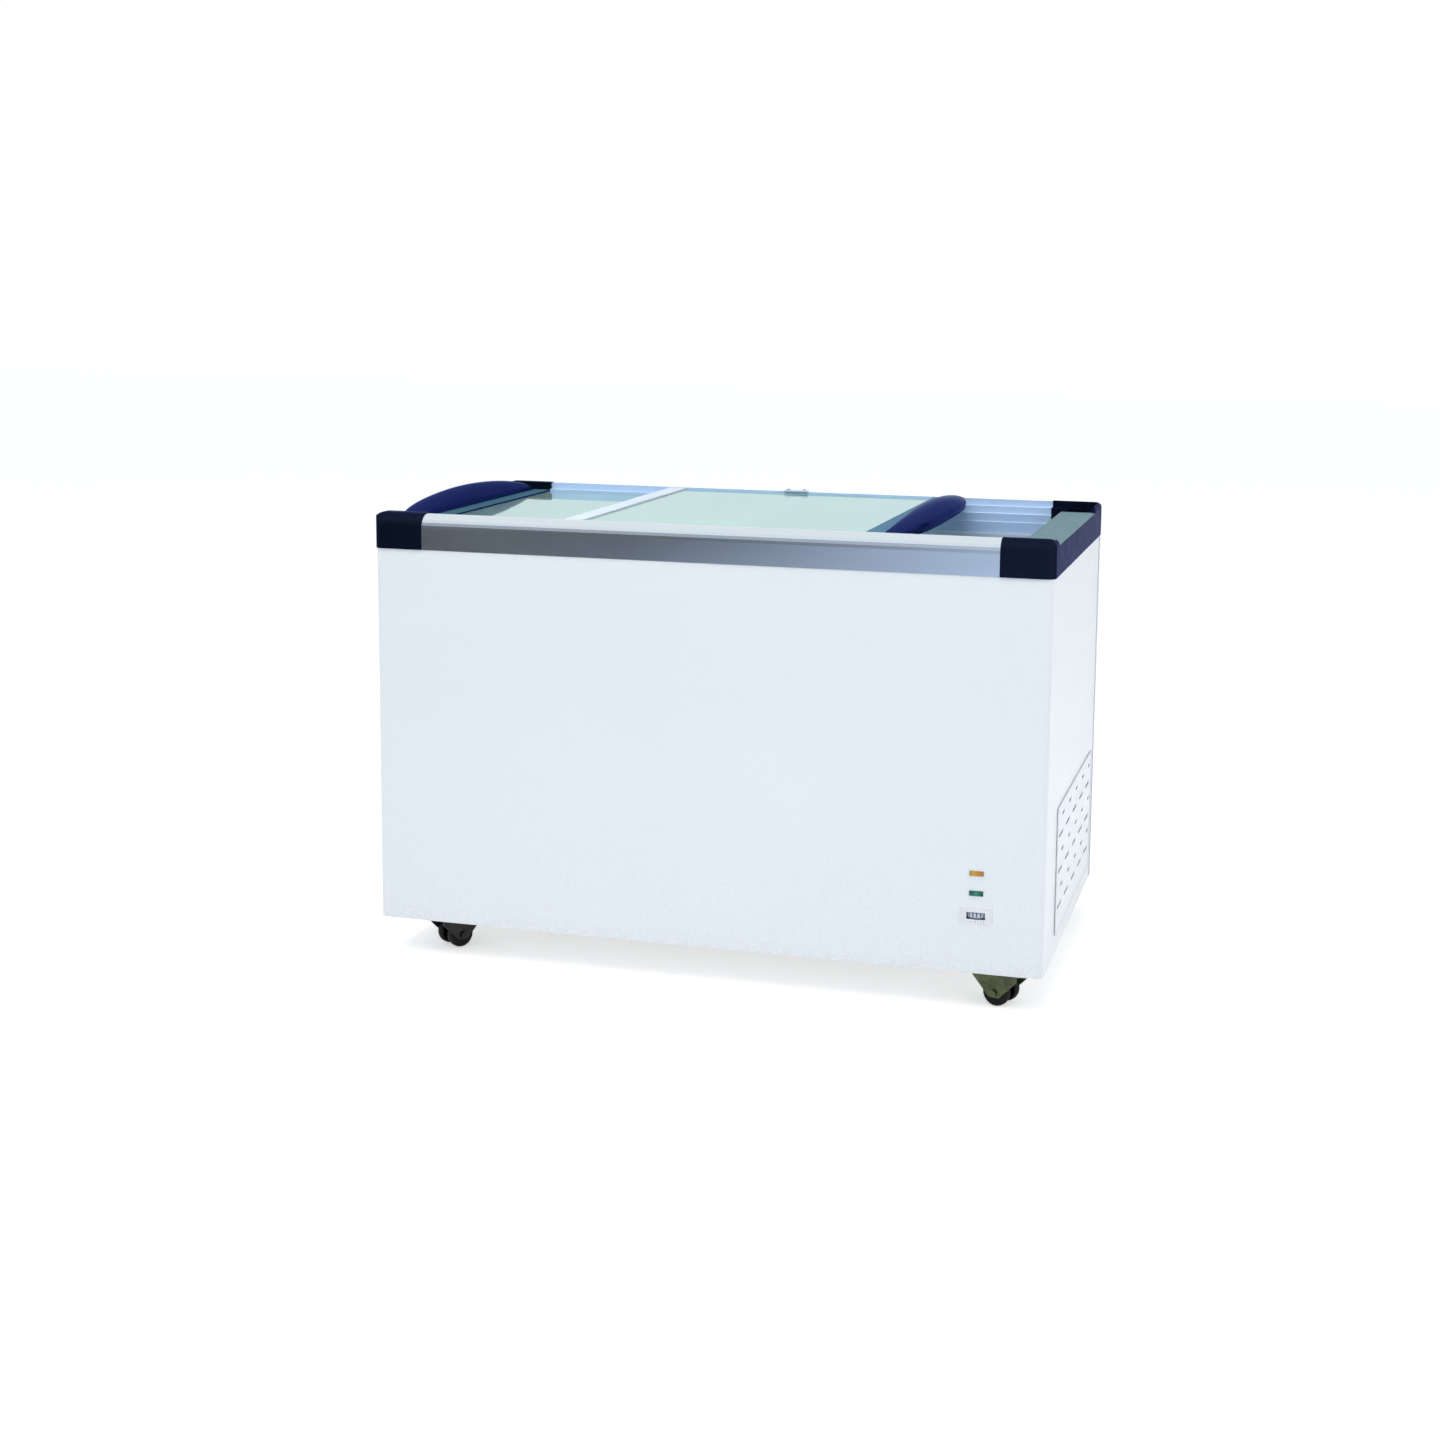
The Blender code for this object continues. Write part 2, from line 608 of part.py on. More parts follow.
def make_inner_liner():
    liner = prism("inner_liner", [liner_outline(0)], "XZ", -LINER_Y, LINER_Y, "liner_white")
    work = bmesh.new()
    work.from_mesh(liner.data)
    bmesh.ops.dissolve_limit(work, angle_limit=0.01, verts=work.verts, edges=work.edges)
    lid = [face for face in work.faces
           if abs((liner.matrix_world @ face.calc_center_median()).z - LINER_TOP) < GAP]
    bmesh.ops.delete(work, geom=lid, context="FACES_ONLY")
    edges = [edge for edge in work.edges if not edge.is_boundary and edge.is_convex]
    bmesh.ops.bevel(work, geom=edges, offset=LINER_CORNER, segments=3, profile=0.5,
                    affect="EDGES", clamp_overlap=True)
    work.to_mesh(liner.data)
    work.free()
    wall = liner.modifiers.new("sheet", "SOLIDIFY")
    wall.thickness = LINER
    wall.offset = 1
    wall.use_even_offset = True
    cut(liner, drain_cutter("liner_drain", GAP))
    smooth(liner)


def make_insulation_foam():
    inset = 2 * SHEET + 2 * GAP
    foam = prism("insulation_foam", [inside_outline(inset)], "XY", PAN_TOP + GAP, LINER_TOP,
                 "foam")
    hollow = prism("foam_hollow", [liner_outline(LINER + GAP)], "XZ",
                   -LINER_Y - LINER - GAP, LINER_Y + LINER + GAP)
    for vertex in hollow.data.vertices:
        if abs(vertex.co.y - LINER_TOP) < GAP:
            vertex.co.y += COLLAR
    machine = box("machine_space", (MACHINE_X - GAP, -HALF_DEPTH, BASE - PAST),
                  (CABINET_LENGTH, HALF_DEPTH, MACHINE_TOP + GAP))
    cut(foam, hollow, machine, drain_cutter("foam_drain", GAP))


def make_breaker_collar():
    outer = inside_outline(INSIDE)
    mouth = rectangle((-LINER_X, -LINER_Y), (LINER_X, LINER_Y), LINER_CORNER)
    prism("breaker_collar", [outer, mouth], "XY", COLLAR_BOTTOM, TOP, "white_plastic")


def make_drain():
    x, y = DRAIN_AT
    bore = DRAIN_RADIUS - DRAIN_WALL
    top, low = FLOOR_Z + GAP, BASE - DRAIN_BELOW
    tube = turned("drain_tube", [(DRAIN_RADIUS, top), (DRAIN_RADIUS, low), (bore, low),
                                 (bore, top)], "white_plastic", steps=20, ring=True)
    tube.location = (x, y, 0)
    head, seat = FLOOR_Z + PLUG_HEAD, FLOOR_Z + 2 * GAP
    plug = turned("drain_plug", [(0, head), (PLUG_RADIUS - PLUG_CHAMFER, head),
                                 (PLUG_RADIUS, head - PLUG_CHAMFER), (PLUG_RADIUS, seat),
                                 (bore - GAP, seat), (bore - 3 * GAP, FLOOR_Z - PLUG_LENGTH),
                                 (0, FLOOR_Z - PLUG_LENGTH)], "black_rubber", steps=20)
    plug.location = (x, y, 0)


# ---------------------------------------------------------------- top frame
def rail_path():
    """Outer surface of a rail: depth in from the cabinet face, and height."""
    top = TOP + RAIL_HEIGHT
    bottom = TOP + GAP
    centre = (RAIL_ROUND - RAIL_OVERHANG, top - RAIL_ROUND)
    upper, lower, lip = TOP + UPPER_TRACK, TOP + LOWER_TRACK, TOP + LIP_HEIGHT
    second = TRACK_INSET + TRACK_LEDGE
    return ([(-RAIL_OVERHANG, bottom)] + arc(centre, RAIL_ROUND, 180, 90, 7)
            + [(TRACK_INSET, top), (TRACK_INSET, upper), (second, upper), (second, lower),
               (TRACK_END, lower), (TRACK_END, lip), (RAIL_INNER, lip), (RAIL_INNER, bottom)])


def make_rails():
    reach = CAP_INNER_X - GAP
    section = strip(rail_path(), RAIL_WALL)
    for name, side in (("front_rail", -1), ("rear_rail", 1)):
        outline = [(side * (HALF_DEPTH - depth), z) for depth, z in section]
        rail = prism(name, [outline], "YZ", -reach, reach, "aluminium")
        smooth(rail)


def make_rear_rail_stop():
    """Small clip on the rear rail that holds the lids' rear edges down."""
    low = TOP + RAIL_HEIGHT + GAP
    y = HALF_DEPTH - TRACK_INSET - STOP_INWARD
    length, width, thickness = STOP_SIZE
    clip = box("rear_rail_stop", (STOP_X - length / 2, y, low),
               (STOP_X + length / 2, y + width, low + thickness), "pale_trim", 0.0008)
    for side in (-1, 1):
        x = STOP_X + side * (length / 2 - STOP_SCREW_INSET)
        join(clip, rod("stop_screw_%d" % side, STOP_SCREW_RADIUS,
                       (x, y + STOP_SCREW_INSET, low + thickness / 2),
                       (x, y + STOP_SCREW_INSET, low + thickness + STOP_SCREW_PROUD), sides=12))


def mirror_loop(loop, side):
    """A plan or side outline on the right, or its mirror image on the left."""
    return [(side * x, y) for x, y in loop]


def cap_plan():
    """Right end cap in plan: a bracket shape round the end of the mouth."""
    outer = CAP_OUTER_X
    inner = outer - CAP_SIDE
    y = HALF_DEPTH + FRAME_OVERHANG
    arm = HALF_DEPTH - RAIL_INNER
    points = [(CAP_INNER_X, -y), (outer, -y), (outer, y), (CAP_INNER_X, y),
              (CAP_INNER_X, arm), (inner, arm), (inner, -arm), (CAP_INNER_X, -arm)]
    return rounded(points, [0, CAP_CORNER, CAP_CORNER, 0,
                             0, CAP_MOUTH_CORNER, CAP_MOUTH_CORNER, 0])


def cap_side_profile():
    """The cap seen from its end, with the same large radius as the rails."""
    y = HALF_DEPTH + FRAME_OVERHANG
    top = TOP + CAP_HEIGHT
    radius = RAIL_ROUND
    return ([(-y, TOP + GAP)] + arc((-y + radius, top - radius), radius, 180, 90, 7)
            + arc((y - radius, top - radius), radius, 90, 0, 7) + [(y, TOP + GAP)])


def cap_end_profile(side):
    """The cap seen from the front, with its rounded outer edge."""
    top = TOP + CAP_HEIGHT
    loop = ([(CAP_INNER_X - PAST, TOP - PAST), (CAP_OUTER_X, TOP - PAST)]
            + arc((CAP_OUTER_X - CAP_EDGE, top - CAP_EDGE), CAP_EDGE, 0, 90, 5)
            + [(CAP_INNER_X - PAST, top)])
    return mirror_loop(loop, side)


def make_end_cap(name, side, track, pocket_inset):
    """side is 1 on the right; the landing is a little over that lid's track."""
    outer = CAP_OUTER_X
    top = TOP + CAP_HEIGHT
    landing = TOP + track + LANDING_CLEARANCE
    cap = prism(name, [mirror_loop(cap_plan(), side)], "XY", TOP + GAP, top, "navy_plastic")
    across = prism(name + "_across", [cap_side_profile()], "YZ", -outer - PAST, outer + PAST)
    along = prism(name + "_along", [cap_end_profile(side)], "XZ", -CABINET_DEPTH, CABINET_DEPTH)
    combine(cap, across, "INTERSECT")
    combine(cap, along, "INTERSECT")

    def hollow(label, low, high, radius, bottom, ceiling):
        outline = mirror_loop(rectangle(low, high, radius), side)
        cut(cap, prism(name + label, [outline], "XY", bottom, ceiling))

    reach = HALF_DEPTH - pocket_inset
    hollow("_pocket", (CAP_INNER_X - PAST, -reach), (outer - CAP_RIM, reach), 0.004, landing,
           top + PAST)
    hollow("_recess", (outer - CAP_SIDE + RECESS_RADIUS, reach - CAP_WALL - RECESS_LENGTH),
           (outer - 2 * RECESS_RADIUS, reach - CAP_WALL), RECESS_RADIUS,
           landing - RECESS_DEPTH, top + PAST)
    hollow("_underside", (outer - CAP_SIDE + CAP_WALL, FRONT + PAST),
           (outer - CAP_WALL, HALF_DEPTH - PAST), RECESS_RADIUS, TOP - PAST, TOP + CAP_HOLLOW)
    rim = TOP + UPPER_TRACK + LANDING_CLEARANCE
    lowered = [(FRONT + LOWERED_FRONT, rim), (HALF_DEPTH - LOWERED_REAR, rim),
               (HALF_DEPTH - LOWERED_REAR + REAR_RISE, top + GAP),
               (FRONT + LOWERED_FRONT - FRONT_RISE, top + GAP)]
    ends = sorted((side * (outer - LOWERED_WIDTH), side * (outer + PAST)))
    cut(cap, prism(name + "_lowered", [lowered], "YZ", *ends))
    smooth(cap)


# ---------------------------------------------------------------- sliding lids
def make_lid(name, start, side, track, inset, crest):
    """start is the lid's low x at rest; side is 1 where the handle is at the right end."""
    low = TOP + track + GAP
    glass_low = low + RUNNER_HEIGHT + GAP
    glass_top = glass_low + GLASS
    reach = HALF_DEPTH - inset - LID_SIDE_CLEARANCE
    end = start + LID_LENGTH
    handle_x = end - HANDLE_WIDTH if side > 0 else start + HANDLE_WIDTH
    strip_x = start + STRIP_WIDTH if side > 0 else end - STRIP_WIDTH
    glass_x = sorted((handle_x + side * (CLAMP_DEPTH - GAP), strip_x - side * (CLAMP_DEPTH - GAP)))
    glass = box(name + "_glass", (glass_x[0], -reach, glass_low),
                (glass_x[1], reach, glass_top), "lid_glass")
    bevel(glass, 0.0006, 1)
    slot_x = sorted((handle_x - side * PAST, handle_x + side * CLAMP_DEPTH))
    slot = box(name + "_slot", (slot_x[0], -reach - PAST, glass_low - GAP),
               (slot_x[1], reach + PAST, glass_top + GAP))
    make_handle(name + "_handle", handle_x, side, reach, glass_low - GAP - CLAMP_UNDER,
                glass_top + GAP + CLAMP_LIP, TOP + CAP_HEIGHT + crest, slot)
    strip_ends = sorted((strip_x, strip_x - side * STRIP_WIDTH))
    end_strip = box(name + "_end_strip", (strip_ends[0], -reach, glass_low - GAP - CLAMP_UNDER),
                    (strip_ends[1], reach, glass_top + GAP + CLAMP_LIP), "pale_trim", 0.001)
    groove = sorted((strip_x + side * PAST, strip_x - side * CLAMP_DEPTH))
    cut(end_strip, box(name + "_groove", (groove[0], -reach - PAST, glass_low - GAP),
                       (groove[1], reach + PAST, glass_top + GAP)))
    runner_x = sorted((handle_x - side * GAP, strip_x + side * GAP))
    for edge, face in (("front", -1), ("rear", 1)):
        ys = sorted((face * reach, face * (reach - RUNNER_WIDTH)))
        box("%s_%s_runner" % (name, edge), (runner_x[0], ys[0], low),
            (runner_x[1], ys[1], low + RUNNER_HEIGHT), "pale_trim", 0.0006)


def make_handle(name, x, side, reach, bottom, flange_top, crest, slot):
    """A flange beside the glass and a long domed bow, crowned along the lid's end."""
    across, along = 14, 36
    bow = HANDLE_WIDTH - FLANGE_WIDTH
    work = bmesh.new()
    bmesh.ops.create_grid(work, x_segments=across, y_segments=along, size=0.5)
    for vertex in work.verts:
        u, t = vertex.co.x + 0.5, vertex.co.y * 2
        width = bow * (1 - abs(0.985 * t) ** HANDLE_POWER) ** (1 / HANDLE_POWER)
        rise = crest - CREST_DROP * t * t - flange_top
        share = max(u * across - 2, 0) / (across - 2)
        if share == 0:
            depth, height = FLANGE_WIDTH * u * across / 2, 0
        else:
            angle = math.pi * (1 - share)
            depth = FLANGE_WIDTH + width * (1 + math.cos(angle)) / 2
            height = rise * math.sin(angle) ** 0.8 * (1 - abs(t) ** 14) ** 0.5
        vertex.co = (x + side * depth, t * reach, flange_top + height)
    top_faces = work.faces[:]
    raised = bmesh.ops.extrude_face_region(work, geom=top_faces)["geom"]
    for item in raised:
        if isinstance(item, bmesh.types.BMVert):
            item.co.z = bottom
    bmesh.ops.recalc_face_normals(work, faces=work.faces)
    mesh = bpy.data.meshes.new(name)
    work.to_mesh(mesh)
    work.free()
    handle = add_object(name, mesh, "handle_plastic")
    cut(handle, slot)
    smooth(handle, 40)


def make_lids():
    shut_left = -LID_LENGTH + LID_OVERLAP
    make_lid("left_lid", shut_left, -1, LOWER_TRACK, TRACK_INSET + TRACK_LEDGE, LOWER_CREST)
    make_lid("right_lid", -LID_OVERLAP - LID_TRAVEL, 1, UPPER_TRACK, TRACK_INSET, UPPER_CREST)


# ---------------------------------------------------------------- front controls
def make_bezel(name, z):
    """Snap-in frame: a thin border outside the cabinet and a barrel through it."""
    half = (SWITCH_LENGTH / 2 + GAP, SWITCH_HEIGHT / 2 + GAP)
    middle = BASE + z

    def block(label, border, near, far, tint=None):
        outer = rectangle((CONTROL_X - half[0] - border, middle - half[1] - border),
                          (CONTROL_X + half[0] + border, middle + half[1] + border), 0.0012, 2)
        return prism(label, [outer], "XZ", near, far, tint)

    bezel = block(name, BEZEL_BORDER, BEZEL_FACE, FRONT - GAP, "white_plastic")
    join(bezel, block(name + "_barrel", BEZEL_WALL, BEZEL_FACE + BEZEL_THICKNESS / 2,
                      FRONT + BEZEL_DEPTH))
    cut(bezel, box(name + "_hole", (CONTROL_X - half[0], FRONT - PAST, middle - half[1]),
                   (CONTROL_X + half[0], FRONT + 2 * BEZEL_DEPTH, middle + half[1])))


def make_rocker():
    """Rocks about a vertical axis: its left half stands out and its right half is pressed in."""
    half = SWITCH_LENGTH / 2 - ROCKER_CLEARANCE
    z = BASE + SWITCH_Z
    depths = [(-half, -ROCKER_PROUD), (0, ROCKER_CREST), (half, ROCKER_SUNK),
              (half, ROCKER_SUNK + ROCKER_EDGE), (ROCKER_FOOT, ROCKER_BACK),
              (-ROCKER_FOOT, ROCKER_BACK), (-half, ROCKER_EDGE)]
    outline = [(CONTROL_X + x, BEZEL_FACE + depth) for x, depth in depths]
    rocker = prism("rocker_switch", [outline], "XY", z - SWITCH_HEIGHT / 2,
                   z + SWITCH_HEIGHT / 2, "amber_plastic")
    put_origin(rocker, (CONTROL_X, BEZEL_FACE + ROCKER_AXIS, z))


def make_lamp_lens():
    half = SWITCH_LENGTH / 2
    low = BASE + LAMP_Z - SWITCH_HEIGHT / 2
    box("lamp_lens", (CONTROL_X - half, BEZEL_FACE - LENS_PROUD, low),
        (CONTROL_X + half, FRONT + BEZEL_DEPTH - LENS_SHORT, low + SWITCH_HEIGHT),
        "green_plastic", 0.0008)


def make_thermostat():
    z = BASE + THERMOSTAT_Z
    length, height, thickness = DIAL_PLATE
    outer = rectangle((CONTROL_X - length / 2, z - height / 2),
                      (CONTROL_X + length / 2, z + height / 2), 0.002, 3)
    window = rectangle((CONTROL_X - DIAL_SLOT[0] / 2, z - DIAL_SLOT[1] / 2),
                       (CONTROL_X + DIAL_SLOT[0] / 2, z + DIAL_SLOT[1] / 2), 0.001, 2)
    prism("thermostat_plate", [outer, window], "XZ", FRONT - GAP - thickness, FRONT - GAP,
          "white_plastic")
    rim = []
    step = 2 * math.pi / DIAL_RIBS
    for i in range(DIAL_RIBS):
        for share, depth in ((0, 0), (0.6, 0), (0.7, DIAL_RIB), (0.9, DIAL_RIB)):
            angle, radius = (i + share) * step, DIAL_RADIUS - depth
            rim.append((CONTROL_X + radius * math.cos(angle), DIAL_Y + radius * math.sin(angle)))
    bore = arc((CONTROL_X, DIAL_Y), DIAL_BORE, 0, 360 * 15 / 16, 15)
    wheel = prism("thermostat_wheel", [rim, bore], "XY", z - DIAL_THICKNESS / 2,
                  z + DIAL_THICKNESS / 2, "dial_plastic")
    put_origin(wheel, (CONTROL_X, DIAL_Y, z))
    make_thermostat_body(z - DIAL_THICKNESS / 2 - GAP)


def make_thermostat_body(low):
    """Case behind the wheel, with an arm under it that carries the wheel's pin."""
    wide, deep, tall = DIAL_CASE
    near = DIAL_Y + DIAL_RADIUS + DIAL_CASE_CLEARANCE
    body = box("thermostat_body", (CONTROL_X - wide / 2, FRONT + INSIDE, low - DIAL_ARM),
               (CONTROL_X + wide / 2, near + deep, low), "black_plastic")
    join(body, box("thermostat_case", (CONTROL_X - wide / 2, near, low - DIAL_ARM / 2),
                   (CONTROL_X + wide / 2, near + deep, low - DIAL_ARM / 2 + tall)),
         rod("dial_pin", DIAL_BORE - GAP, (CONTROL_X, DIAL_Y, low - DIAL_ARM / 2),
             (CONTROL_X, DIAL_Y, low + DIAL_THICKNESS + DIAL_RIB), sides=16))


# ---------------------------------------------------------------- side grille
def make_side_grille():
    y0, z0 = FRONT + GRILLE_FRONT, BASE + GRILLE_BOTTOM
    loops = [rectangle((y0, z0), (y0 + GRILLE_LENGTH, z0 + GRILLE_HEIGHT), GRILLE_CORNER, 3)]
    for row in range(SLOT_ROWS):
        is_long = row % 2 == 0
        length = LONG_SLOT if is_long else SHORT_SLOT
        z = z0 + FIRST_SLOT[1] + row * SLOT_PITCH_Z
        for column in range(SLOT_COLUMNS):
            y = y0 + FIRST_SLOT[0] + column * SLOT_PITCH_Y + (0 if is_long else SHORT_SHIFT)
            loops.append(rectangle((y - length / 2, z - SLOT_HEIGHT / 2),
                                   (y + length / 2, z + SLOT_HEIGHT / 2), SLOT_ROUND, 2))
    face = HALF_LENGTH + GAP
    prism("side_grille", loops, "YZ", face, face + GRILLE_THICKNESS, "body_white")


# ---------------------------------------------------------------- refrigeration
def make_compressor():
    """Hermetic pot on a sheet foot that stands on four rubber grommets."""
    plate_low = PAN_TOP + 2 * GAP + GROMMET_HEIGHT
    plate_top = plate_low + PLATE_SIZE[2]
    low, top = plate_top + GAP, plate_top + GAP + COMPRESSOR_HEIGHT
    dome = COMPRESSOR_RADIUS * COMPRESSOR_DOME
    shoulder = [(COMPRESSOR_RADIUS * math.sin(a), top - dome + dome * math.cos(a))
                for a in (math.radians(15 * i) for i in range(7))]
    foot = [(COMPRESSOR_RADIUS, low + COMPRESSOR_FOOT),
            (COMPRESSOR_RADIUS - COMPRESSOR_FOOT * 0.7, low), (0, low)]
    pot = turned("compressor", [(0, top)] + shoulder[1:] + foot, "black_steel", steps=28)
    pot.location = (COMPRESSOR_X, COMPRESSOR_Y, 0)
    half_x, half_y = PLATE_SIZE[0] / 2, PLATE_SIZE[1] / 2
    box("compressor_plate", (COMPRESSOR_X - half_x, COMPRESSOR_Y - half_y, plate_low),
        (COMPRESSOR_X + half_x, COMPRESSOR_Y + half_y, plate_top), "zinc")
    number = 0
    for sx in (-1, 1):
        for sy in (-1, 1):
            number += 1
            x = COMPRESSOR_X + sx * (half_x - GROMMET_INSET)
            y = COMPRESSOR_Y + sy * (half_y - GROMMET_INSET)
            rod("grommet_%d" % number, GROMMET_RADIUS, (x, y, PAN_TOP + GAP),
                (x, y, PAN_TOP + GAP + GROMMET_HEIGHT), "black_rubber", 16)
    wide, deep, tall = RELAY_SIZE
    near = COMPRESSOR_Y - COMPRESSOR_RADIUS - deep
    relay = box("relay_box", (COMPRESSOR_X - wide / 2, near, low + RELAY_LIFT),
                (COMPRESSOR_X + wide / 2, COMPRESSOR_Y - COMPRESSOR_RADIUS / 2,
                 low + RELAY_LIFT + tall), "black_plastic", 0.003)
    cut(relay, rod("relay_seat", COMPRESSOR_RADIUS + RELAY_CLEARANCE,
                   (COMPRESSOR_X, COMPRESSOR_Y, BASE), (COMPRESSOR_X, COMPRESSOR_Y, MACHINE_TOP),
                   sides=28))
    return low, top


def make_condenser():
    """Stack of upright fins across two header plates."""
    depth, length, height = CONDENSER
    low = CONDENSER_LOW
    x = CONDENSER_X - depth / 2
    y0 = CONDENSER_Y - length / 2
    pitch = (length - FIN) / (FIN_COUNT - 1)
    outline = []
    for i in range(FIN_COUNT):
        y = y0 + i * pitch
        outline += [(y, low + CONDENSER_FOOT), (y, low + height), (y + FIN, low + height),
                    (y + FIN, low + CONDENSER_FOOT)]
    outline = outline[1:-1] + [(y0 + length, low), (y0, low)]
    block = prism("condenser", [outline], "YZ", x, x + depth, "black_steel")
    for i, share in enumerate(TUBE_HEIGHTS):
        z = low + height * share
        join(block, rod("condenser_tube_%d" % i, PIPE_RADIUS, (CONDENSER_X, y0 - TUBE_STUB, z),
                        (CONDENSER_X, y0 + length + TUBE_STUB, z), sides=12))


def make_fan():
    """Spoked frame beside the condenser, with the motor behind it and the blades ahead."""
    middle = (CONDENSER_Y, FAN_Z)
    half_y, half_z = CONDENSER[1] / 2, CONDENSER[2] / 2
    loops = [rectangle((middle[0] - half_y, middle[1] - half_z),
                       (middle[0] + half_y, middle[1] + half_z), 0.004, 2)]
    inner, outer = MOTOR_RADIUS + 0.004, FAN_RADIUS + FAN_OPENING
    for i in range(4):
        start = 90 * i + 8
        loops.append(arc(middle, outer, start, start + 74, 8)
                     + arc(middle, inner, start + 68, start + 6, 5))
    frame = prism("fan_frame", loops, "YZ", FAN_X, FAN_X + FAN_FRAME, "zinc")
    cut(frame, rod("shaft_hole", SHAFT_RADIUS + GAP, (FAN_X - PAST, *middle),
                   (FAN_X + PAST, *middle), sides=12))
    back = FAN_X - GAP
    motor = rod("fan_motor", MOTOR_RADIUS, (back - MOTOR_LENGTH, *middle), (back, *middle),
                "black_steel", 24)
    join(motor, rod("fan_shaft", SHAFT_RADIUS, (back - PAST, *middle),
                    (FAN_X + FAN_FRAME + SHAFT_REACH, *middle), sides=12))
    make_fan_blade(FAN_X + FAN_FRAME + HUB_CLEARANCE, middle)


def make_fan_blade(low, middle):
    """Hub with pitched flat blades, which turns on the motor's shaft."""
    high = low + HUB_LENGTH
    blade = rod("fan_blade", HUB_RADIUS, (low, *middle), (high, *middle), "black_plastic", 20)
    thickness, chord = BLADE_SIZE
    for i in range(FAN_BLADES):
        tool = box("blade_%d" % i, (-thickness / 2, HUB_RADIUS * 0.67, -chord / 2),
                   (thickness / 2, FAN_RADIUS, chord / 2))
        tool.matrix_world = (Matrix.Translation(((low + high) / 2, *middle))
                             @ Matrix.Rotation(2 * math.pi * i / FAN_BLADES, 4, "X")
                             @ Matrix.Rotation(math.radians(BLADE_PITCH), 4, "Y"))
        join(blade, tool)
    cut(blade, rod("blade_bore", SHAFT_RADIUS + GAP, (low - PAST, *middle),
                   (high + PAST, *middle), sides=12))
    put_origin(blade, ((low + high) / 2, *middle))


def make_pipes(pot_low, pot_top):
    """Discharge line to the condenser, with the drier in it, and the suction line to the foam."""
    y_end = CONDENSER_Y + CONDENSER[1] / 2
    z = CONDENSER_LOW + CONDENSER[2] * TUBE_HEIGHTS[1]
    x = CONDENSER_X
    half, neck = DRIER_LENGTH / 2, PIPE_RADIUS
    end, cone = half - DRIER_SHOULDER[0], half - DRIER_SHOULDER[1]
    drier_y = y_end + TUBE_STUB + GAP + half
    drier = turned("filter_drier", [(0, half), (neck, half), (neck, end), (DRIER_RADIUS, cone),
                                    (DRIER_RADIUS, -cone), (neck, -end), (neck, -half),
                                    (0, -half)], "copper", steps=16)
    drier.matrix_world = (Matrix.Translation((x, drier_y, z))
                          @ Matrix.Rotation(math.radians(90), 4, "X"))
    side = COMPRESSOR_X + COMPRESSOR_RADIUS
    mid = (pot_low + pot_top) / 2
    bend_y = COMPRESSOR_Y
    start_y = drier_y + half + GAP
    pipe("discharge_pipe", [(x, start_y, z), (x, start_y + 0.010, z),
                            (x + 0.007, start_y + 0.022, z), (x + 0.020, start_y + 0.036, z),
                            (x + 0.030, bend_y - 0.020, z - 0.008),
                            (x + 0.028, bend_y - 0.004, mid + 0.016), (x + 0.018, bend_y, mid),
                            (side + GAP, bend_y, mid)], DISCHARGE_RADIUS, "copper")
    top = MACHINE_TOP - SHEET - GAP
    rear = COMPRESSOR_Y + COMPRESSOR_RADIUS
    pipe("suction_pipe", [(COMPRESSOR_X, rear + GAP, mid), (COMPRESSOR_X, rear + 0.018, mid),
                          (COMPRESSOR_X, rear + 0.028, mid + 0.010),
                          (COMPRESSOR_X, rear + 0.030, mid + 0.024),
                          (COMPRESSOR_X, rear + 0.030, top)], PIPE_RADIUS, "copper")


def make_cable_gland():
    """Open bushing in the rear panel for a lead."""
    outside = GLAND_RADIUS + GLAND_FLANGE[0]
    far = -GAP - GLAND_FLANGE[1]
    gland = turned("cable_gland", [(GLAND_RADIUS, GLAND_DEPTH), (GLAND_RADIUS, -GAP),
                                   (outside, -GAP), (outside, far), (GLAND_BORE, far),
                                   (GLAND_BORE, GLAND_DEPTH)],
                   "black_plastic", steps=20, ring=True)
    gland.matrix_world = (Matrix.Translation(gland_place())
                          @ Matrix.Rotation(math.radians(90), 4, "X"))


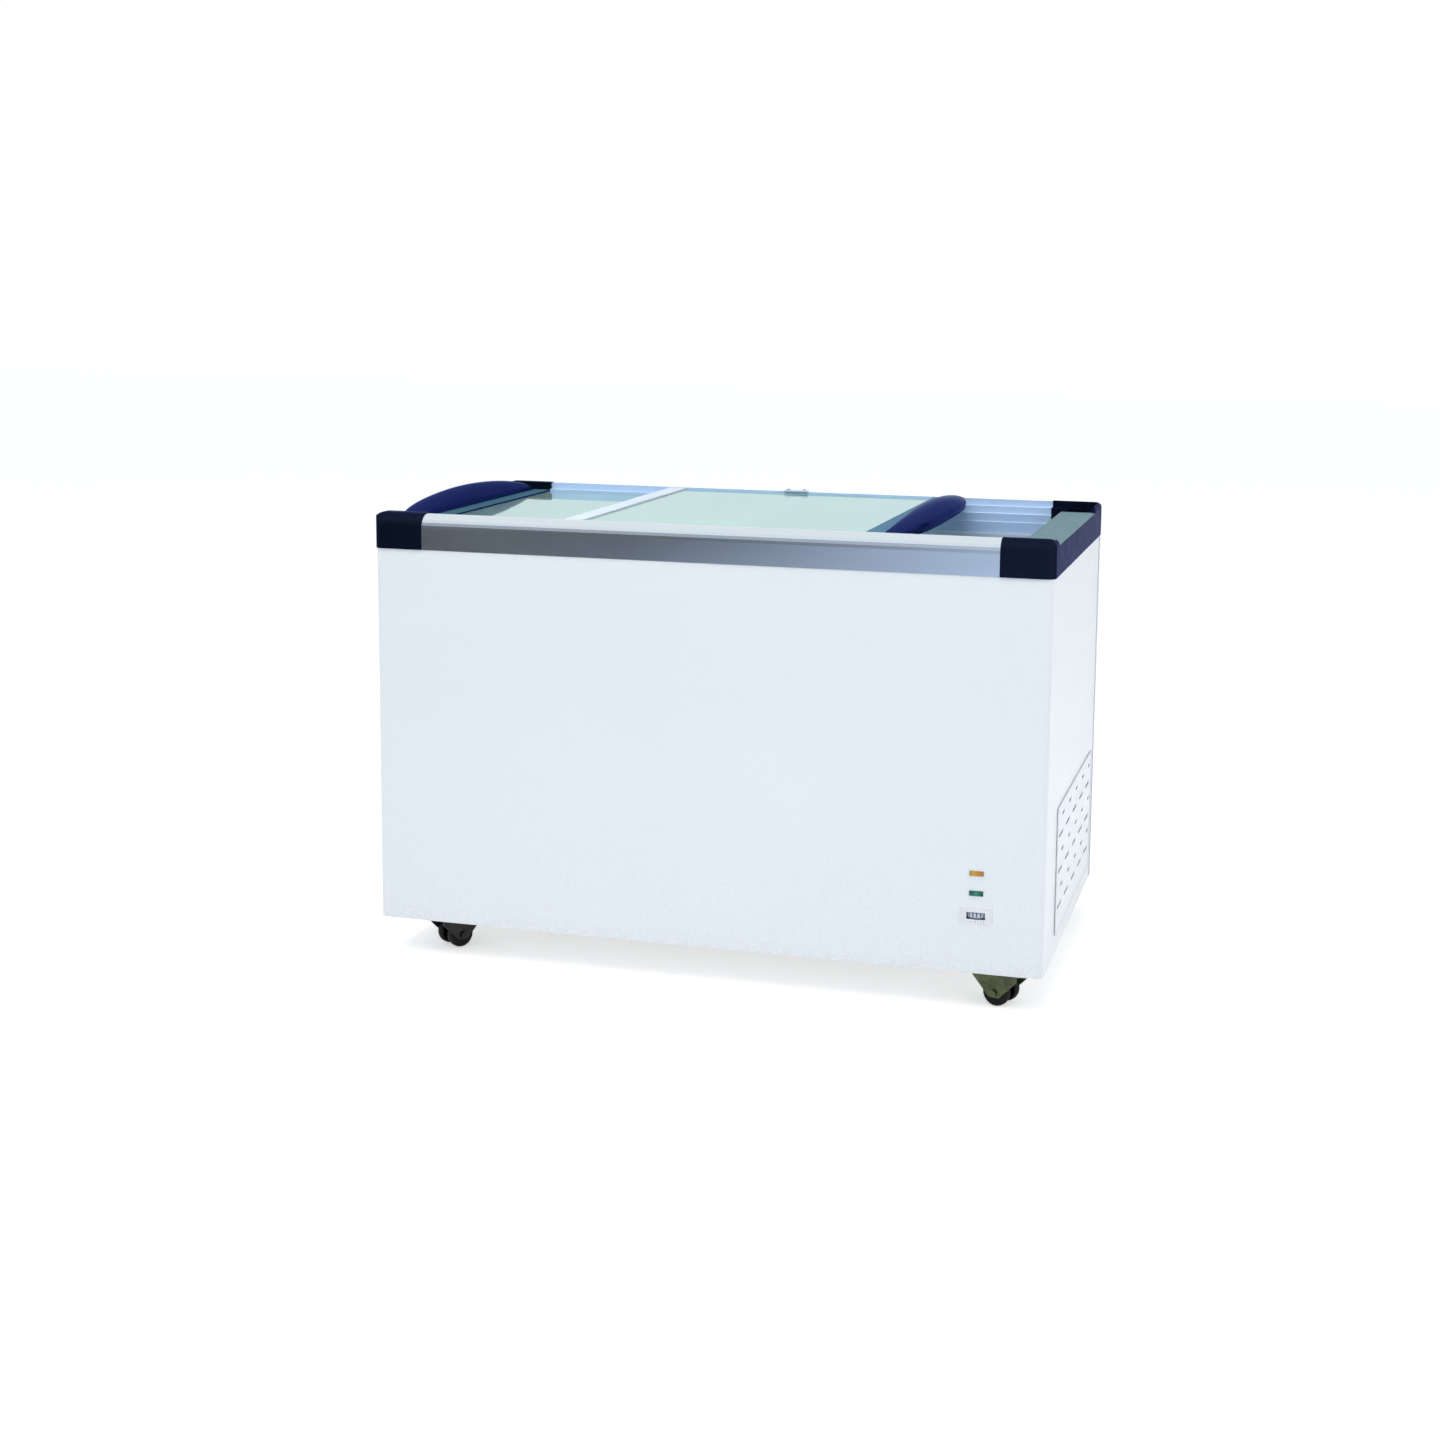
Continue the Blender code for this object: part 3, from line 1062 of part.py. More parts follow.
# ---------------------------------------------------------------- casters
def make_caster(corner, heading):
    """Swivel caster: a plate with its race, a trailing fork with its axle, and twin wheels."""
    sx = -1 if corner.endswith("left") else 1
    sy = -1 if corner.startswith("front") else 1
    place = Matrix.Translation((sx * (HALF_LENGTH - PIVOT_INSET[0]),
                                sy * (HALF_DEPTH - PIVOT_INSET[1]), 0))
    turn = place @ Matrix.Rotation(math.radians(heading), 4, "Z")
    plate_top = BASE - GAP
    plate_low = plate_top - CASTER_PLATE[2]
    half_x, half_y = CASTER_PLATE[0] / 2, CASTER_PLATE[1] / 2
    plate = box("caster_plate_" + corner, (-half_x, -half_y, plate_low),
                (half_x, half_y, plate_top), "zinc", 0.0008)
    race = turned("caster_race_" + corner,
                  [(0, plate_low + CASTER_PLATE[2] / 3), (RACE_RADIUS, plate_low + CASTER_PLATE[2] / 3),
                   (RACE_RADIUS, FORK_TOP + GAP + RACE_CHAMFER),
                   (RACE_RADIUS - RACE_CHAMFER, FORK_TOP + GAP), (0, FORK_TOP + GAP)], steps=28)
    join(plate, race)
    cut(plate, rod("kingpin_bore_" + corner, KINGPIN_RADIUS + GAP, (0, 0, FORK_TOP - PAST),
                   (0, 0, plate_low), sides=16))
    plate.matrix_world = place
    for tool in (race, bpy.data.objects["kingpin_bore_" + corner]):
        tool.matrix_world = place

    low, high = TRAIL - FORK_LENGTH / 2, TRAIL + FORK_LENGTH / 2
    foot = FORK_FOOT / 2
    leg_low, shoulder = WHEEL_RADIUS - FORK_DROP, FORK_TOP - FORK_EDGE
    outline = rounded([(TRAIL - foot, leg_low), (TRAIL + foot, leg_low), (high, shoulder),
                       (high, FORK_TOP), (low, FORK_TOP), (low, shoulder)],
                      [0.006, 0.006, 0.002, 0.002, 0.002, 0.002], 3)
    leg_in = (WHEEL_SPACING + WHEEL_WIDTH) / 2 + WHEEL_SIDE_CLEARANCE
    leg_out = leg_in + FORK_SHEET
    fork = prism("caster_fork_" + corner, [outline], "XZ", -leg_out, leg_out, "zinc")
    channel = box("fork_channel_" + corner, (low - PAST, -leg_in, -PAST),
                  (high + PAST, leg_in, FORK_TOP - FORK_SHEET))
    cut(fork, channel)
    axle = rod("axle_" + corner, AXLE_RADIUS, (TRAIL, -leg_out - FORK_SHEET, WHEEL_RADIUS),
               (TRAIL, leg_out + FORK_SHEET, WHEEL_RADIUS), sides=16)
    nuts = [rod("nut_%s_%d" % (corner, s), NUT_RADIUS,
                (TRAIL, s * (leg_out - FORK_SHEET / 2), WHEEL_RADIUS),
                (TRAIL, s * (leg_out + NUT_PROUD), WHEEL_RADIUS), sides=6) for s in (-1, 1)]
    kingpin = rod("kingpin_" + corner, KINGPIN_RADIUS, (0, 0, FORK_TOP - FORK_SHEET / 2),
                  (0, 0, plate_low - GAP), sides=16)
    join(fork, axle, *nuts, kingpin)
    for piece in [fork, channel, axle, kingpin] + nuts:
        piece.matrix_world = turn @ piece.matrix_world

    wheels = turned("caster_wheels_" + corner, wheel_profile(), "black_rubber", steps=28,
                    ring=True)
    wheels.matrix_world = (turn @ Matrix.Translation((TRAIL, 0, WHEEL_RADIUS))
                           @ Matrix.Rotation(math.radians(90), 4, "X"))


def wheel_profile():
    """Twin treads on one sleeve, turned about the axle."""
    bore = AXLE_RADIUS + GAP
    half = WHEEL_WIDTH / 2
    depth, width = TREAD_ROUND
    edge = [(WHEEL_RADIUS - depth, half), (WHEEL_RADIUS - depth / 3, half - width * 0.3),
            (WHEEL_RADIUS, half - width)]
    tread = edge + [(r, -h) for r, h in reversed(edge)]
    upper = [(r, h + WHEEL_SPACING / 2) for r, h in tread]
    lower = [(r, h - WHEEL_SPACING / 2) for r, h in tread]
    top = WHEEL_SPACING / 2 + half
    inner = WHEEL_SPACING / 2 - half
    return ([(bore, top)] + upper + [(HUB_SLEEVE, inner), (HUB_SLEEVE, -inner)] + lower
            + [(bore, -top)])


# ---------------------------------------------------------------- build
def build():
    make_outer_shell()
    make_rear_panel()
    make_base_pan()
    make_machine_bulkhead()
    make_inner_liner()
    make_insulation_foam()
    make_breaker_collar()
    make_drain()
    make_rails()
    make_rear_rail_stop()
    make_end_cap("left_end_cap", -1, LOWER_TRACK, TRACK_INSET + TRACK_LEDGE)
    make_end_cap("right_end_cap", 1, UPPER_TRACK, TRACK_INSET)
    make_lids()
    make_bezel("switch_bezel", SWITCH_Z)
    make_bezel("lamp_bezel", LAMP_Z)
    make_rocker()
    make_lamp_lens()
    make_thermostat()
    make_side_grille()
    pot_low, pot_top = make_compressor()
    make_condenser()
    make_fan()
    make_pipes(pot_low, pot_top)
    make_cable_gland()
    for corner, heading in CASTER_HEADINGS.items():
        make_caster(corner, heading)


build()
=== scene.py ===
import json
import math

import bmesh
import bpy
from mathutils import Matrix, Vector
from mathutils.bvhtree import BVHTree


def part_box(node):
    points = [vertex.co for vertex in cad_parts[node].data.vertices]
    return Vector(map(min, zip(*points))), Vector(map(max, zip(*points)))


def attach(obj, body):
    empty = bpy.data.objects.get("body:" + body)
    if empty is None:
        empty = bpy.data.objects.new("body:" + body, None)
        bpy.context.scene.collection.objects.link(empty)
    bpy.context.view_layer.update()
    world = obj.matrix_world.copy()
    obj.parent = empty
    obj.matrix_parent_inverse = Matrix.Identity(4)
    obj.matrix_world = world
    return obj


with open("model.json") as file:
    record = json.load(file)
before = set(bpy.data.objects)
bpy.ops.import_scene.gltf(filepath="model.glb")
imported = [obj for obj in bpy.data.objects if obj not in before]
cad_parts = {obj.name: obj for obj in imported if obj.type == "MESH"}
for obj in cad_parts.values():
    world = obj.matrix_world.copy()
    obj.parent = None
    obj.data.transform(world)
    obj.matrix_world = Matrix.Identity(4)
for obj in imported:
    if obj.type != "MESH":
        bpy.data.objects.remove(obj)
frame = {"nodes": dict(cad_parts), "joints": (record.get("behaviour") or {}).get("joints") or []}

NODES = frame["nodes"]
JOINTS = {joint["name"]: joint for joint in frame["joints"]}
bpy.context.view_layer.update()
CAP_WIDE = 0.068                # width of each end cap beside the mouth
CORNERS = ("front_left", "front_right", "rear_left", "rear_right")
SIDES = (("left", -1), ("right", 1))        # each end of the cabinet and the way that it faces
WELD = 0.00001                  # corners of a CAD node that are this near are one corner
SMOOTH_ANGLE = 35               # degrees; a sharper edge between two faces stays sharp

# radius and height of each kind of screw head
STOP_SCREW = (0.0038, 0.0016)
CAP_SCREW = (0.0050, 0.0022)
REAR_SCREW = (0.0045, 0.0016)
GRILLE_SCREW = (0.0036, 0.0010)
PLATE_BOLT = (0.0042, 0.0030)

# radii of the round beads
HANDLE_BEAD = 0.0011
GRILLE_BEAD = 0.0012
SLOT_LIP = 0.0007
WELD_SEAM = 0.0019

# ---------------------------------------------------------------- camera and light
CAMERA_AT = (1.0869, -3.8749, 1.2724)
CAMERA_TURN = 15.217            # degrees to the left of +Y
CAMERA_TILT = 7.702             # degrees under the horizon
CAMERA_ROLL = 0.602
LENS = 52.79
SHIFT = (-0.0339, -0.1087)

SKY = (0.93, 0.96, 1.0)
SKY_STRENGTH = 0.56
FLOOR_COLOUR = (0.92, 0.93, 0.94)
FLOOR_GLOW = 0.50               # what the camera sees on top of the lit floor
LAMPS = {                       # place, size, watts
    "top_lamp": ((-0.4, -1.3, 3.4), 3.2, 66),
    "front_lamp": ((-2.2, -5.2, 2.6), 2.6, 26),
    "side_lamp": ((4.6, -1.0, 2.2), 2.4, 42),
}
LAMP_AIM = (0, 0, 0.5)
CARD_MIDDLE = -3.5              # X of the middle of the two front cards
CARD_WIDTH = 14.0
DIM_LEFT = ((0.0, (0.022, 0.020, 0.014)), (0.50, (0.032, 0.029, 0.021)),
            (0.60, (0.06, 0.06, 0.06)), (0.66, (0.20, 0.23, 0.31)), (0.73, (0.66, 0.78, 1.0)))
PALE_WALL = (0.85, 0.90, 1.0)   # what the upright card fades to upwards
COLD_REAR = ((0.0, (0.78, 0.93, 0.93)), (1.0, (0.80, 0.92, 0.95)))


def add(name, data):
    obj = bpy.data.objects.new(name, data)
    bpy.context.scene.collection.objects.link(obj)
    return obj


def make_camera():
    camera = add("camera", bpy.data.cameras.new("camera"))
    turn = (Matrix.Rotation(math.radians(CAMERA_TURN), 4, "Z")
            @ Matrix.Rotation(math.radians(90 - CAMERA_TILT), 4, "X")
            @ Matrix.Rotation(math.radians(CAMERA_ROLL), 4, "Z"))
    camera.matrix_world = Matrix.Translation(CAMERA_AT) @ turn
    camera.data.lens = LENS
    camera.data.sensor_width = 36
    camera.data.shift_x, camera.data.shift_y = SHIFT
    camera.data.clip_end = 60
    bpy.context.scene.camera = camera


def seen_rays(tree):
    """1 for camera, glossy and transmission rays."""
    path = tree.nodes.new("ShaderNodeLightPath")
    total = path.outputs["Is Camera Ray"]
    for name in ("Is Glossy Ray", "Is Transmission Ray"):
        either = tree.nodes.new("ShaderNodeMath")
        either.operation = "MAXIMUM"
        tree.links.new(total, either.inputs[0])
        tree.links.new(path.outputs[name], either.inputs[1])
        total = either.outputs[0]
    return total


def make_world():
    world = bpy.data.worlds.new("studio")
    bpy.context.scene.world = world
    world.use_nodes = True
    tree = world.node_tree
    light = tree.nodes["Background"]
    light.inputs["Color"].default_value = (*SKY, 1)
    light.inputs["Strength"].default_value = SKY_STRENGTH
    white = tree.nodes.new("ShaderNodeBackground")
    white.inputs["Color"].default_value = (1, 1, 1, 1)
    white.inputs["Strength"].default_value = 1
    mix = tree.nodes.new("ShaderNodeMixShader")
    tree.links.new(seen_rays(tree), mix.inputs[0])
    tree.links.new(light.outputs[0], mix.inputs[1])
    tree.links.new(white.outputs[0], mix.inputs[2])
    tree.links.new(mix.outputs[0], tree.nodes["World Output"].inputs["Surface"])


def make_floor():
    """White floor that is a little brighter to the eye than its light, and keeps its shadow."""
    material = bpy.data.materials.new("floor_white")
    material.use_nodes = True
    tree = material.node_tree
    tree.nodes.clear()
    matt = tree.nodes.new("ShaderNodeBsdfDiffuse")
    matt.inputs["Color"].default_value = (*FLOOR_COLOUR, 1)
    glow = tree.nodes.new("ShaderNodeEmission")
    glow.inputs["Color"].default_value = (1, 1, 1, 1)
    strength = tree.nodes.new("ShaderNodeMath")
    strength.operation = "MULTIPLY"
    strength.inputs[1].default_value = FLOOR_GLOW
    tree.links.new(seen_rays(tree), strength.inputs[0])
    tree.links.new(strength.outputs[0], glow.inputs["Strength"])
    both = tree.nodes.new("ShaderNodeAddShader")
    output = tree.nodes.new("ShaderNodeOutputMaterial")
    tree.links.new(matt.outputs[0], both.inputs[0])
    tree.links.new(glow.outputs[0], both.inputs[1])
    tree.links.new(both.outputs[0], output.inputs["Surface"])
    stage_plane("floor", (0, 0, 0), (40, 40), (0, 0, 0), material)


def stage_plane(name, place, size, turn, material):
    work = bmesh.new()
    bmesh.ops.create_grid(work, x_segments=1, y_segments=1, size=0.5)
    mesh = bpy.data.meshes.new(name)
    work.to_mesh(mesh)
    work.free()
    mesh.materials.append(material)
    plane = add(name, mesh)
    plane.location = place
    plane.scale = (*size, 1)
    plane.rotation_euler = [math.radians(angle) for angle in turn]
    return plane


def card_material(name, stops, fade=None):
    """Light that changes along a card from left to right, and may fade to another upwards."""
    look = Look(name)
    split = look.make("ShaderNodeSeparateXYZ")
    look.feed(split.inputs[0], look.make("ShaderNodeTexCoord").outputs["Generated"])
    colour = look.ramp(split.outputs[0], *stops)
    if fade:
        colour = look.mix(look.ramp(split.outputs[1], (0.04, 0.0), (0.90, 1.0)), colour, fade)
    glow = look.make("ShaderNodeEmission")
    look.feed(glow.inputs["Color"], colour)
    output = look.tree.nodes["Material Output"]
    look.tree.links.new(glow.outputs[0], output.inputs["Surface"])
    return look.material


def make_cards():
    """Studio cards that only reflections see: dim at the front left, pale and cool elsewhere."""
    low = card_material("front_card_low", DIM_LEFT)
    upright = card_material("front_card_upright", DIM_LEFT, PALE_WALL)
    rear = card_material("rear_card", COLD_REAR)
    lying, standing = (0, 0, 0), (90, 0, 0)
    cards = (
        stage_plane("front_card_low", (CARD_MIDDLE, -6.4, 0.01), (CARD_WIDTH, 9.0), lying, low),
        stage_plane("front_card_upright", (CARD_MIDDLE, -9.5, 7.0), (CARD_WIDTH, 14.0), standing,
                    upright),
        stage_plane("rear_card", (-1.5, 9.0, 2.6), (16.0, 3.6), standing, rear),
    )
    for card in cards:
        card.visible_camera = card.visible_diffuse = card.visible_shadow = False
        card.visible_transmission = False


def make_lamps():
    for name, (place, size, watts) in LAMPS.items():
        light = bpy.data.lights.new(name, "AREA")
        light.shape = "SQUARE"
        light.size = size
        light.energy = watts
        lamp = add(name, light)
        lamp.location = place
        aim = Vector(LAMP_AIM) - Vector(place)
        lamp.rotation_euler = aim.to_track_quat("-Z", "Y").to_euler()
        lamp.visible_glossy = False


# ---------------------------------------------------------------- procedural materials
class Look:
    """A Principled material whose colour, roughness and bump come from procedural nodes."""

    def __init__(self, name, **sockets):
        self.material = bpy.data.materials.new(name)
        self.material.use_nodes = True
        self.tree = self.material.node_tree
        self.shader = self.tree.nodes["Principled BSDF"]
        self.position = self.make("ShaderNodeTexCoord").outputs["Object"]
        for key, value in sockets.items():
            self.feed(self.shader.inputs[key.replace("_", " ").title().replace("Ior", "IOR")],
                      value)

    def make(self, kind, **settings):
        node = self.tree.nodes.new(kind)
        for key, value in settings.items():
            setattr(node, key, value)
        return node

    def feed(self, socket, value):
        if isinstance(value, bpy.types.NodeSocket):
            self.tree.links.new(value, socket)
        elif isinstance(value, tuple) and len(value) == 3 and socket.type == "RGBA":
            socket.default_value = (*value, 1)
        else:
            socket.default_value = value

    def set(self, name, value):
        self.feed(self.shader.inputs[name], value)

    def stretched(self, stretch):
        mapping = self.make("ShaderNodeMapping")
        self.feed(mapping.inputs["Vector"], self.position)
        mapping.inputs["Scale"].default_value = stretch
        return mapping.outputs[0]

    def noise(self, scale, detail, stretch=(1, 1, 1)):
        node = self.make("ShaderNodeTexNoise")
        self.feed(node.inputs["Vector"], self.stretched(stretch))
        node.inputs["Scale"].default_value = scale
        node.inputs["Detail"].default_value = detail
        return node.outputs[0]

    def cells(self, scale, output="Color"):
        node = self.make("ShaderNodeTexVoronoi")
        self.feed(node.inputs["Vector"], self.position)
        node.inputs["Scale"].default_value = scale
        return node.outputs[output]

    def ramp(self, factor, *stops):
        """Stops are (place, colour or grey)."""
        node = self.make("ShaderNodeValToRGB")
        elements = node.color_ramp.elements
        while len(elements) < len(stops):
            elements.new(1)
        for element, (place, colour) in zip(elements, stops):
            element.position = place
            element.color = (*colour, 1) if isinstance(colour, tuple) else (colour,) * 3 + (1,)
        self.feed(node.inputs["Fac"], factor)
        return node.outputs["Color"]

    def mix(self, factor, first, second):
        node = self.make("ShaderNodeMix", data_type="RGBA")
        self.feed(node.inputs[0], factor)
        self.feed(node.inputs[6], first)
        self.feed(node.inputs[7], second)
        return node.outputs[2]

    def math(self, operation, first, second=0.0):
        node = self.make("ShaderNodeMath", operation=operation)
        self.feed(node.inputs[0], first)
        self.feed(node.inputs[1], second)
        return node.outputs[0]

    def vector(self, operation, first, second):
        node = self.make("ShaderNodeVectorMath", operation=operation)
        self.feed(node.inputs[0], first)
        self.feed(node.inputs[1], second)
        return node.outputs["Value" if operation in ("DOT_PRODUCT", "LENGTH", "DISTANCE") else 0]

    def facing(self, axis):
        """How far a face looks along an axis: 1 is straight along it, -1 straight back."""
        split = self.make("ShaderNodeSeparateXYZ")
        self.feed(split.inputs[0], self.make("ShaderNodeNewGeometry").outputs["True Normal"])
        return split.outputs[axis]

    def along(self, axis, low=0.0, high=1.0):
        """0 up to one place along an axis and 1 past another; metres above 0 if neither is given."""
        split = self.make("ShaderNodeSeparateXYZ")
        self.feed(split.inputs[0], self.position)
        node = self.make("ShaderNodeMapRange")
        self.feed(node.inputs["Value"], split.outputs[axis])
        node.inputs["From Min"].default_value = low
        node.inputs["From Max"].default_value = high
        return node.outputs[0]

    def bump(self, height, distance, strength=1.0):
        """Bumps add up: each one starts from the normal that the last one left."""
        node = self.make("ShaderNodeBump")
        self.feed(node.inputs["Height"], height)
        node.inputs["Distance"].default_value = distance
        node.inputs["Strength"].default_value = strength
        before = self.shader.inputs["Normal"].links
        if before:
            self.tree.links.new(before[0].from_socket, node.inputs["Normal"])
        self.tree.links.new(node.outputs[0], self.shader.inputs["Normal"])

    def spread(self, factor, low, high):
        """A roughness between two values."""
        node = self.make("ShaderNodeMapRange")
        self.feed(node.inputs["Value"], factor)
        node.inputs["From Min"].default_value = 0.3
        node.inputs["From Max"].default_value = 0.7
        node.inputs["To Min"].default_value = low
        node.inputs["To Max"].default_value = high
        return node.outputs[0]


def scaled(colour, factor):
    return tuple(channel * factor for channel in colour)


def painted_sheet(name, colour, low_grey):
    """Powder paint: faint tone shifts, orange peel, wiping marks, and grey speckles and a grey tint
    that grow towards the floor.
    """
    look = Look(name, coat_weight=0.25, coat_roughness=0.22)
    tone = look.noise(2.2, 4, (1, 1, 0.5))
    paint = look.mix(tone, scaled(colour, 0.975), scaled(colour, 1.02))
    # greyer towards the floor, most of it in speckles
    low = look.ramp(look.along(2, 0.06, 0.42), (0, 1.0), (0.12, 0.42), (1, 0.0))
    speckle = look.ramp(look.noise(160, 6), (0.42, 0.2), (0.70, 1.0))
    amount = look.math("MULTIPLY", look.math("MULTIPLY", low, speckle), 0.35)
    look.set("Base Color", look.mix(amount, paint, low_grey))
    wiped = look.noise(5, 5, (1, 1, 6))
    look.set("Roughness", look.spread(wiped, 0.30, 0.42))
    look.bump(look.noise(420, 2), 0.00006, 0.35)
    look.bump(look.noise(3.5, 1), 0.0006, 0.15)
    return look.material


def liner_paint():
    """Cold inside: pale blue paint with a light bloom of frost low on the walls."""
    look = Look("liner_paint", coat_weight=0.2, coat_roughness=0.3)
    frost = look.ramp(look.noise(26, 8), (0.42, 0.0), (0.66, 1.0))
    low = look.ramp(look.along(2, 0.13, 0.60), (0, 1.0), (1, 0.15))
    paint = look.mix(look.noise(3, 3), (0.52, 0.68, 0.88), (0.62, 0.77, 0.94))
    amount = look.math("MULTIPLY", frost, low)
    look.set("Base Color", look.mix(amount, paint, (0.86, 0.91, 0.95)))
    look.set("Roughness", look.spread(frost, 0.34, 0.60))
    look.bump(look.noise(380, 3), 0.00012, 0.4)
    return look.material


def anodised_aluminium(name, dark, pale, metallic, walls=None, ledges=None):
    """Fine extrusion lines along X and a sandy etch under a satin anodised skin.

    Walls that face the front are painted colder and darker as painted shade, and ledges that face up
    are painted paler as painted light.
    """
    look = Look(name, metallic=metallic)
    lines = look.noise(1, 2, (2.5, 900, 900))
    etch = look.noise(700, 2)
    patches = look.noise(6, 4, (0.4, 3, 3))
    metal = look.mix(look.math("MULTIPLY", look.math("ADD", lines, etch), 0.5), dark, pale)
    metal = look.mix(look.math("MULTIPLY", patches, 0.25), metal, scaled(dark, 0.92))
    if walls:
        # painted shade on the walls that face the front, painted light on the ledges that face up
        metal = look.mix(look.math("LESS_THAN", look.facing(1), -0.5), metal, walls)
        metal = look.mix(look.math("GREATER_THAN", look.facing(2), 0.9), metal, ledges)
    look.set("Base Color", metal)
    look.set("Roughness", look.spread(patches, 0.22, 0.27))
    look.bump(lines, 0.00001, 0.10)
    return look.material


def moulded_plastic(name, colour, roughness, gloss):
    """Injection moulding: soft sink marks, a fine grain and hair scratches under a thin gloss."""
    look = Look(name, specular_ior_level=0.0, coat_weight=gloss, coat_roughness=0.14)
    look.set("Base Color", look.mix(look.noise(9, 4), scaled(colour, 0.86), scaled(colour, 1.14)))
    scratches = look.ramp(look.noise(70, 2, (1, 9, 1)), (0.60, 0.0), (0.68, 1.0))
    rough = look.spread(look.noise(24, 5), roughness * 0.85, roughness * 1.2)
    look.set("Roughness", look.math("ADD", rough, look.math("MULTIPLY", scratches, 0.08)))
    look.bump(look.noise(1100, 2), 0.00003, 0.5)
    look.bump(look.noise(14, 1), 0.0004, 0.12)
    return look.material


def tempered_glass():
    """Green-tinted coated glass with a cold haze, faint smears and a few dust motes."""
    look = Look("lid_glass", ior=1.5, specular_ior_level=0.4)
    smear = look.noise(7, 5, (1, 3, 1))
    haze = look.ramp(look.noise(2.5, 3), (0.30, 0.0), (0.75, 1.0))
    look.set("Base Color", look.mix(haze, (0.64, 0.92, 0.86), (0.70, 0.94, 0.90)))
    look.set("Roughness", look.spread(smear, 0.02, 0.07))
    motes = look.ramp(look.cells(90, "Distance"), (0.0, 0.50), (0.035, 0.74))
    clear = look.make("ShaderNodeSeparateColor")
    look.feed(clear.inputs[0], motes)
    look.set("Transmission Weight", clear.outputs[0])
    look.bump(look.noise(4, 1), 0.0002, 0.05)
    return look.material


def zinc_sheet(name, dark, pale, tarnish, metallic=0.85):
    """Zinc spangle in flat crystals, with a tarnish that gathers in patches."""
    look = Look(name, metallic=metallic)
    crystal = look.cells(160)
    look.set("Base Color", look.mix(look.ramp(look.noise(34, 5), (0.40, 0.0), (0.72, 0.8)),
                                    look.mix(crystal, dark, pale), tarnish))
    look.set("Roughness", look.spread(look.noise(60, 4), 0.28, 0.50))
    look.bump(look.noise(500, 3), 0.00004, 0.4)
    return look.material


def black_enamel():
    """Baked enamel with fine orange peel under a film of dust."""
    look = Look("black_steel", metallic=0.1, coat_weight=0.3, coat_roughness=0.25)
    dust = look.ramp(look.noise(90, 7), (0.45, 0.0), (0.80, 1.0))
    look.set("Base Color", look.mix(dust, (0.014, 0.014, 0.016), (0.075, 0.07, 0.065)))
    look.set("Roughness", look.spread(dust, 0.34, 0.62))
    look.bump(look.noise(600, 3), 0.00006, 0.5)
    return look.material


def rubber(name, colour):
    """Matt moulded rubber, greyed by dust."""
    look = Look(name, specular_ior_level=0.35)
    dust = look.ramp(look.noise(120, 6), (0.48, 0.0), (0.78, 0.6))
    look.set("Base Color", look.mix(dust, colour, scaled(colour, 3.5)))
    look.set("Roughness", look.spread(look.noise(80, 4), 0.62, 0.86))
    look.bump(look.noise(1300, 3), 0.00008, 0.6)
    return look.material


def wheel_rubber(corner):
    """Tread and sides told apart by the distance from the axle, with rings on the sides."""
    joint = JOINTS["roll_" + corner]
    look = Look("caster_tread_" + corner, specular_ior_level=0.10, coat_weight=0.10,
                coat_roughness=0.2)
    arm = look.vector("SUBTRACT", look.position, tuple(joint["pos_m"]))
    across = look.vector("DOT_PRODUCT", arm, tuple(joint["axis"]))
    squared = look.math("SUBTRACT", look.math("POWER", look.vector("LENGTH", arm, arm), 2.0),
                        look.math("POWER", look.math("ABSOLUTE", across), 2.0))
    radius = look.math("SQRT", look.math("MAXIMUM", squared, 0.0))
    tread = look.ramp(look.math("MULTIPLY", radius, 40.0), (0.94, 0.0), (0.97, 1.0))
    grime = look.ramp(look.noise(150, 6), (0.40, 0.0), (0.75, 1.0))
    wear_and_sheen = look.mix(grime, (0.003, 0.003, 0.003), (0.014, 0.013, 0.012))
    look.set("Base Color", look.mix(tread, (0.002, 0.002, 0.0025), wear_and_sheen))
    look.set("Roughness", look.spread(tread, 0.24, 0.66))
    rings = look.math("SINE", look.math("MULTIPLY", radius, 2400.0))
    look.bump(rings, 0.00012, 0.5)
    look.bump(look.noise(900, 3), 0.00006, 0.4)
    return look.material


def copper_tube():
    """Bare copper that has browned in patches."""
    look = Look("copper", metallic=1.0)
    tarnish = look.ramp(look.noise(45, 6), (0.38, 0.0), (0.75, 1.0))
    look.set("Base Color", look.mix(tarnish, (0.80, 0.40, 0.25), (0.32, 0.15, 0.09)))
    look.set("Roughness", look.spread(tarnish, 0.24, 0.52))
    look.bump(look.noise(400, 2), 0.00003, 0.4)
    return look.material


def rigid_foam():
    """Foamed-in insulation with open cells where it was cut."""
    look = Look("foam_cells", specular_ior_level=0.2)
    look.set("Base Color", look.mix(look.noise(12, 5), (0.80, 0.70, 0.44), (0.92, 0.85, 0.62)))
    look.set("Roughness", look.spread(look.noise(60, 3), 0.80, 0.95))
    look.bump(look.cells(260, "Distance"), 0.0008, 0.6)
    return look.material


def condenser_fins():
    """Fine upright fins between the thick ones that the CAD model has."""
    look = Look("condenser_fins", metallic=0.4)
    fins = look.math("SINE", look.math("MULTIPLY", look.along(1), 2400.0))
    dust = look.ramp(look.noise(70, 6), (0.40, 0.0), (0.80, 1.0))
    look.set("Base Color", look.mix(dust, (0.02, 0.02, 0.022), (0.10, 0.095, 0.085)))
    look.set("Roughness", look.spread(dust, 0.40, 0.70))
    look.bump(fins, 0.0006, 0.7)
    return look.material


def rocker_amber():
    """Two moulded halves, the left one caught by the light."""
    low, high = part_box("rocker_switch")
    look = Look("rocker_amber", specular_ior_level=0.3, emission_strength=0.10)
    side = look.along(0, low.x, high.x)
    body = look.ramp(side, (0.0, (0.42, 0.24, 0.03)), (0.30, (0.58, 0.36, 0.03)),
                     (0.50, (0.52, 0.20, 0.02)), (0.80, (0.46, 0.16, 0.04)),
                     (1.0, (0.16, 0.07, 0.03)))
    look.set("Base Color", look.mix(look.noise(300, 3), body, (0.45, 0.252, 0.045)))
    # the emission takes the body colour, so its painted light and shade glow faintly too
    look.set("Emission Color", body)
    look.set("Roughness", look.spread(look.noise(200, 3), 0.16, 0.30))
    look.bump(look.noise(1500, 2), 0.00003, 0.4)
    return look.material


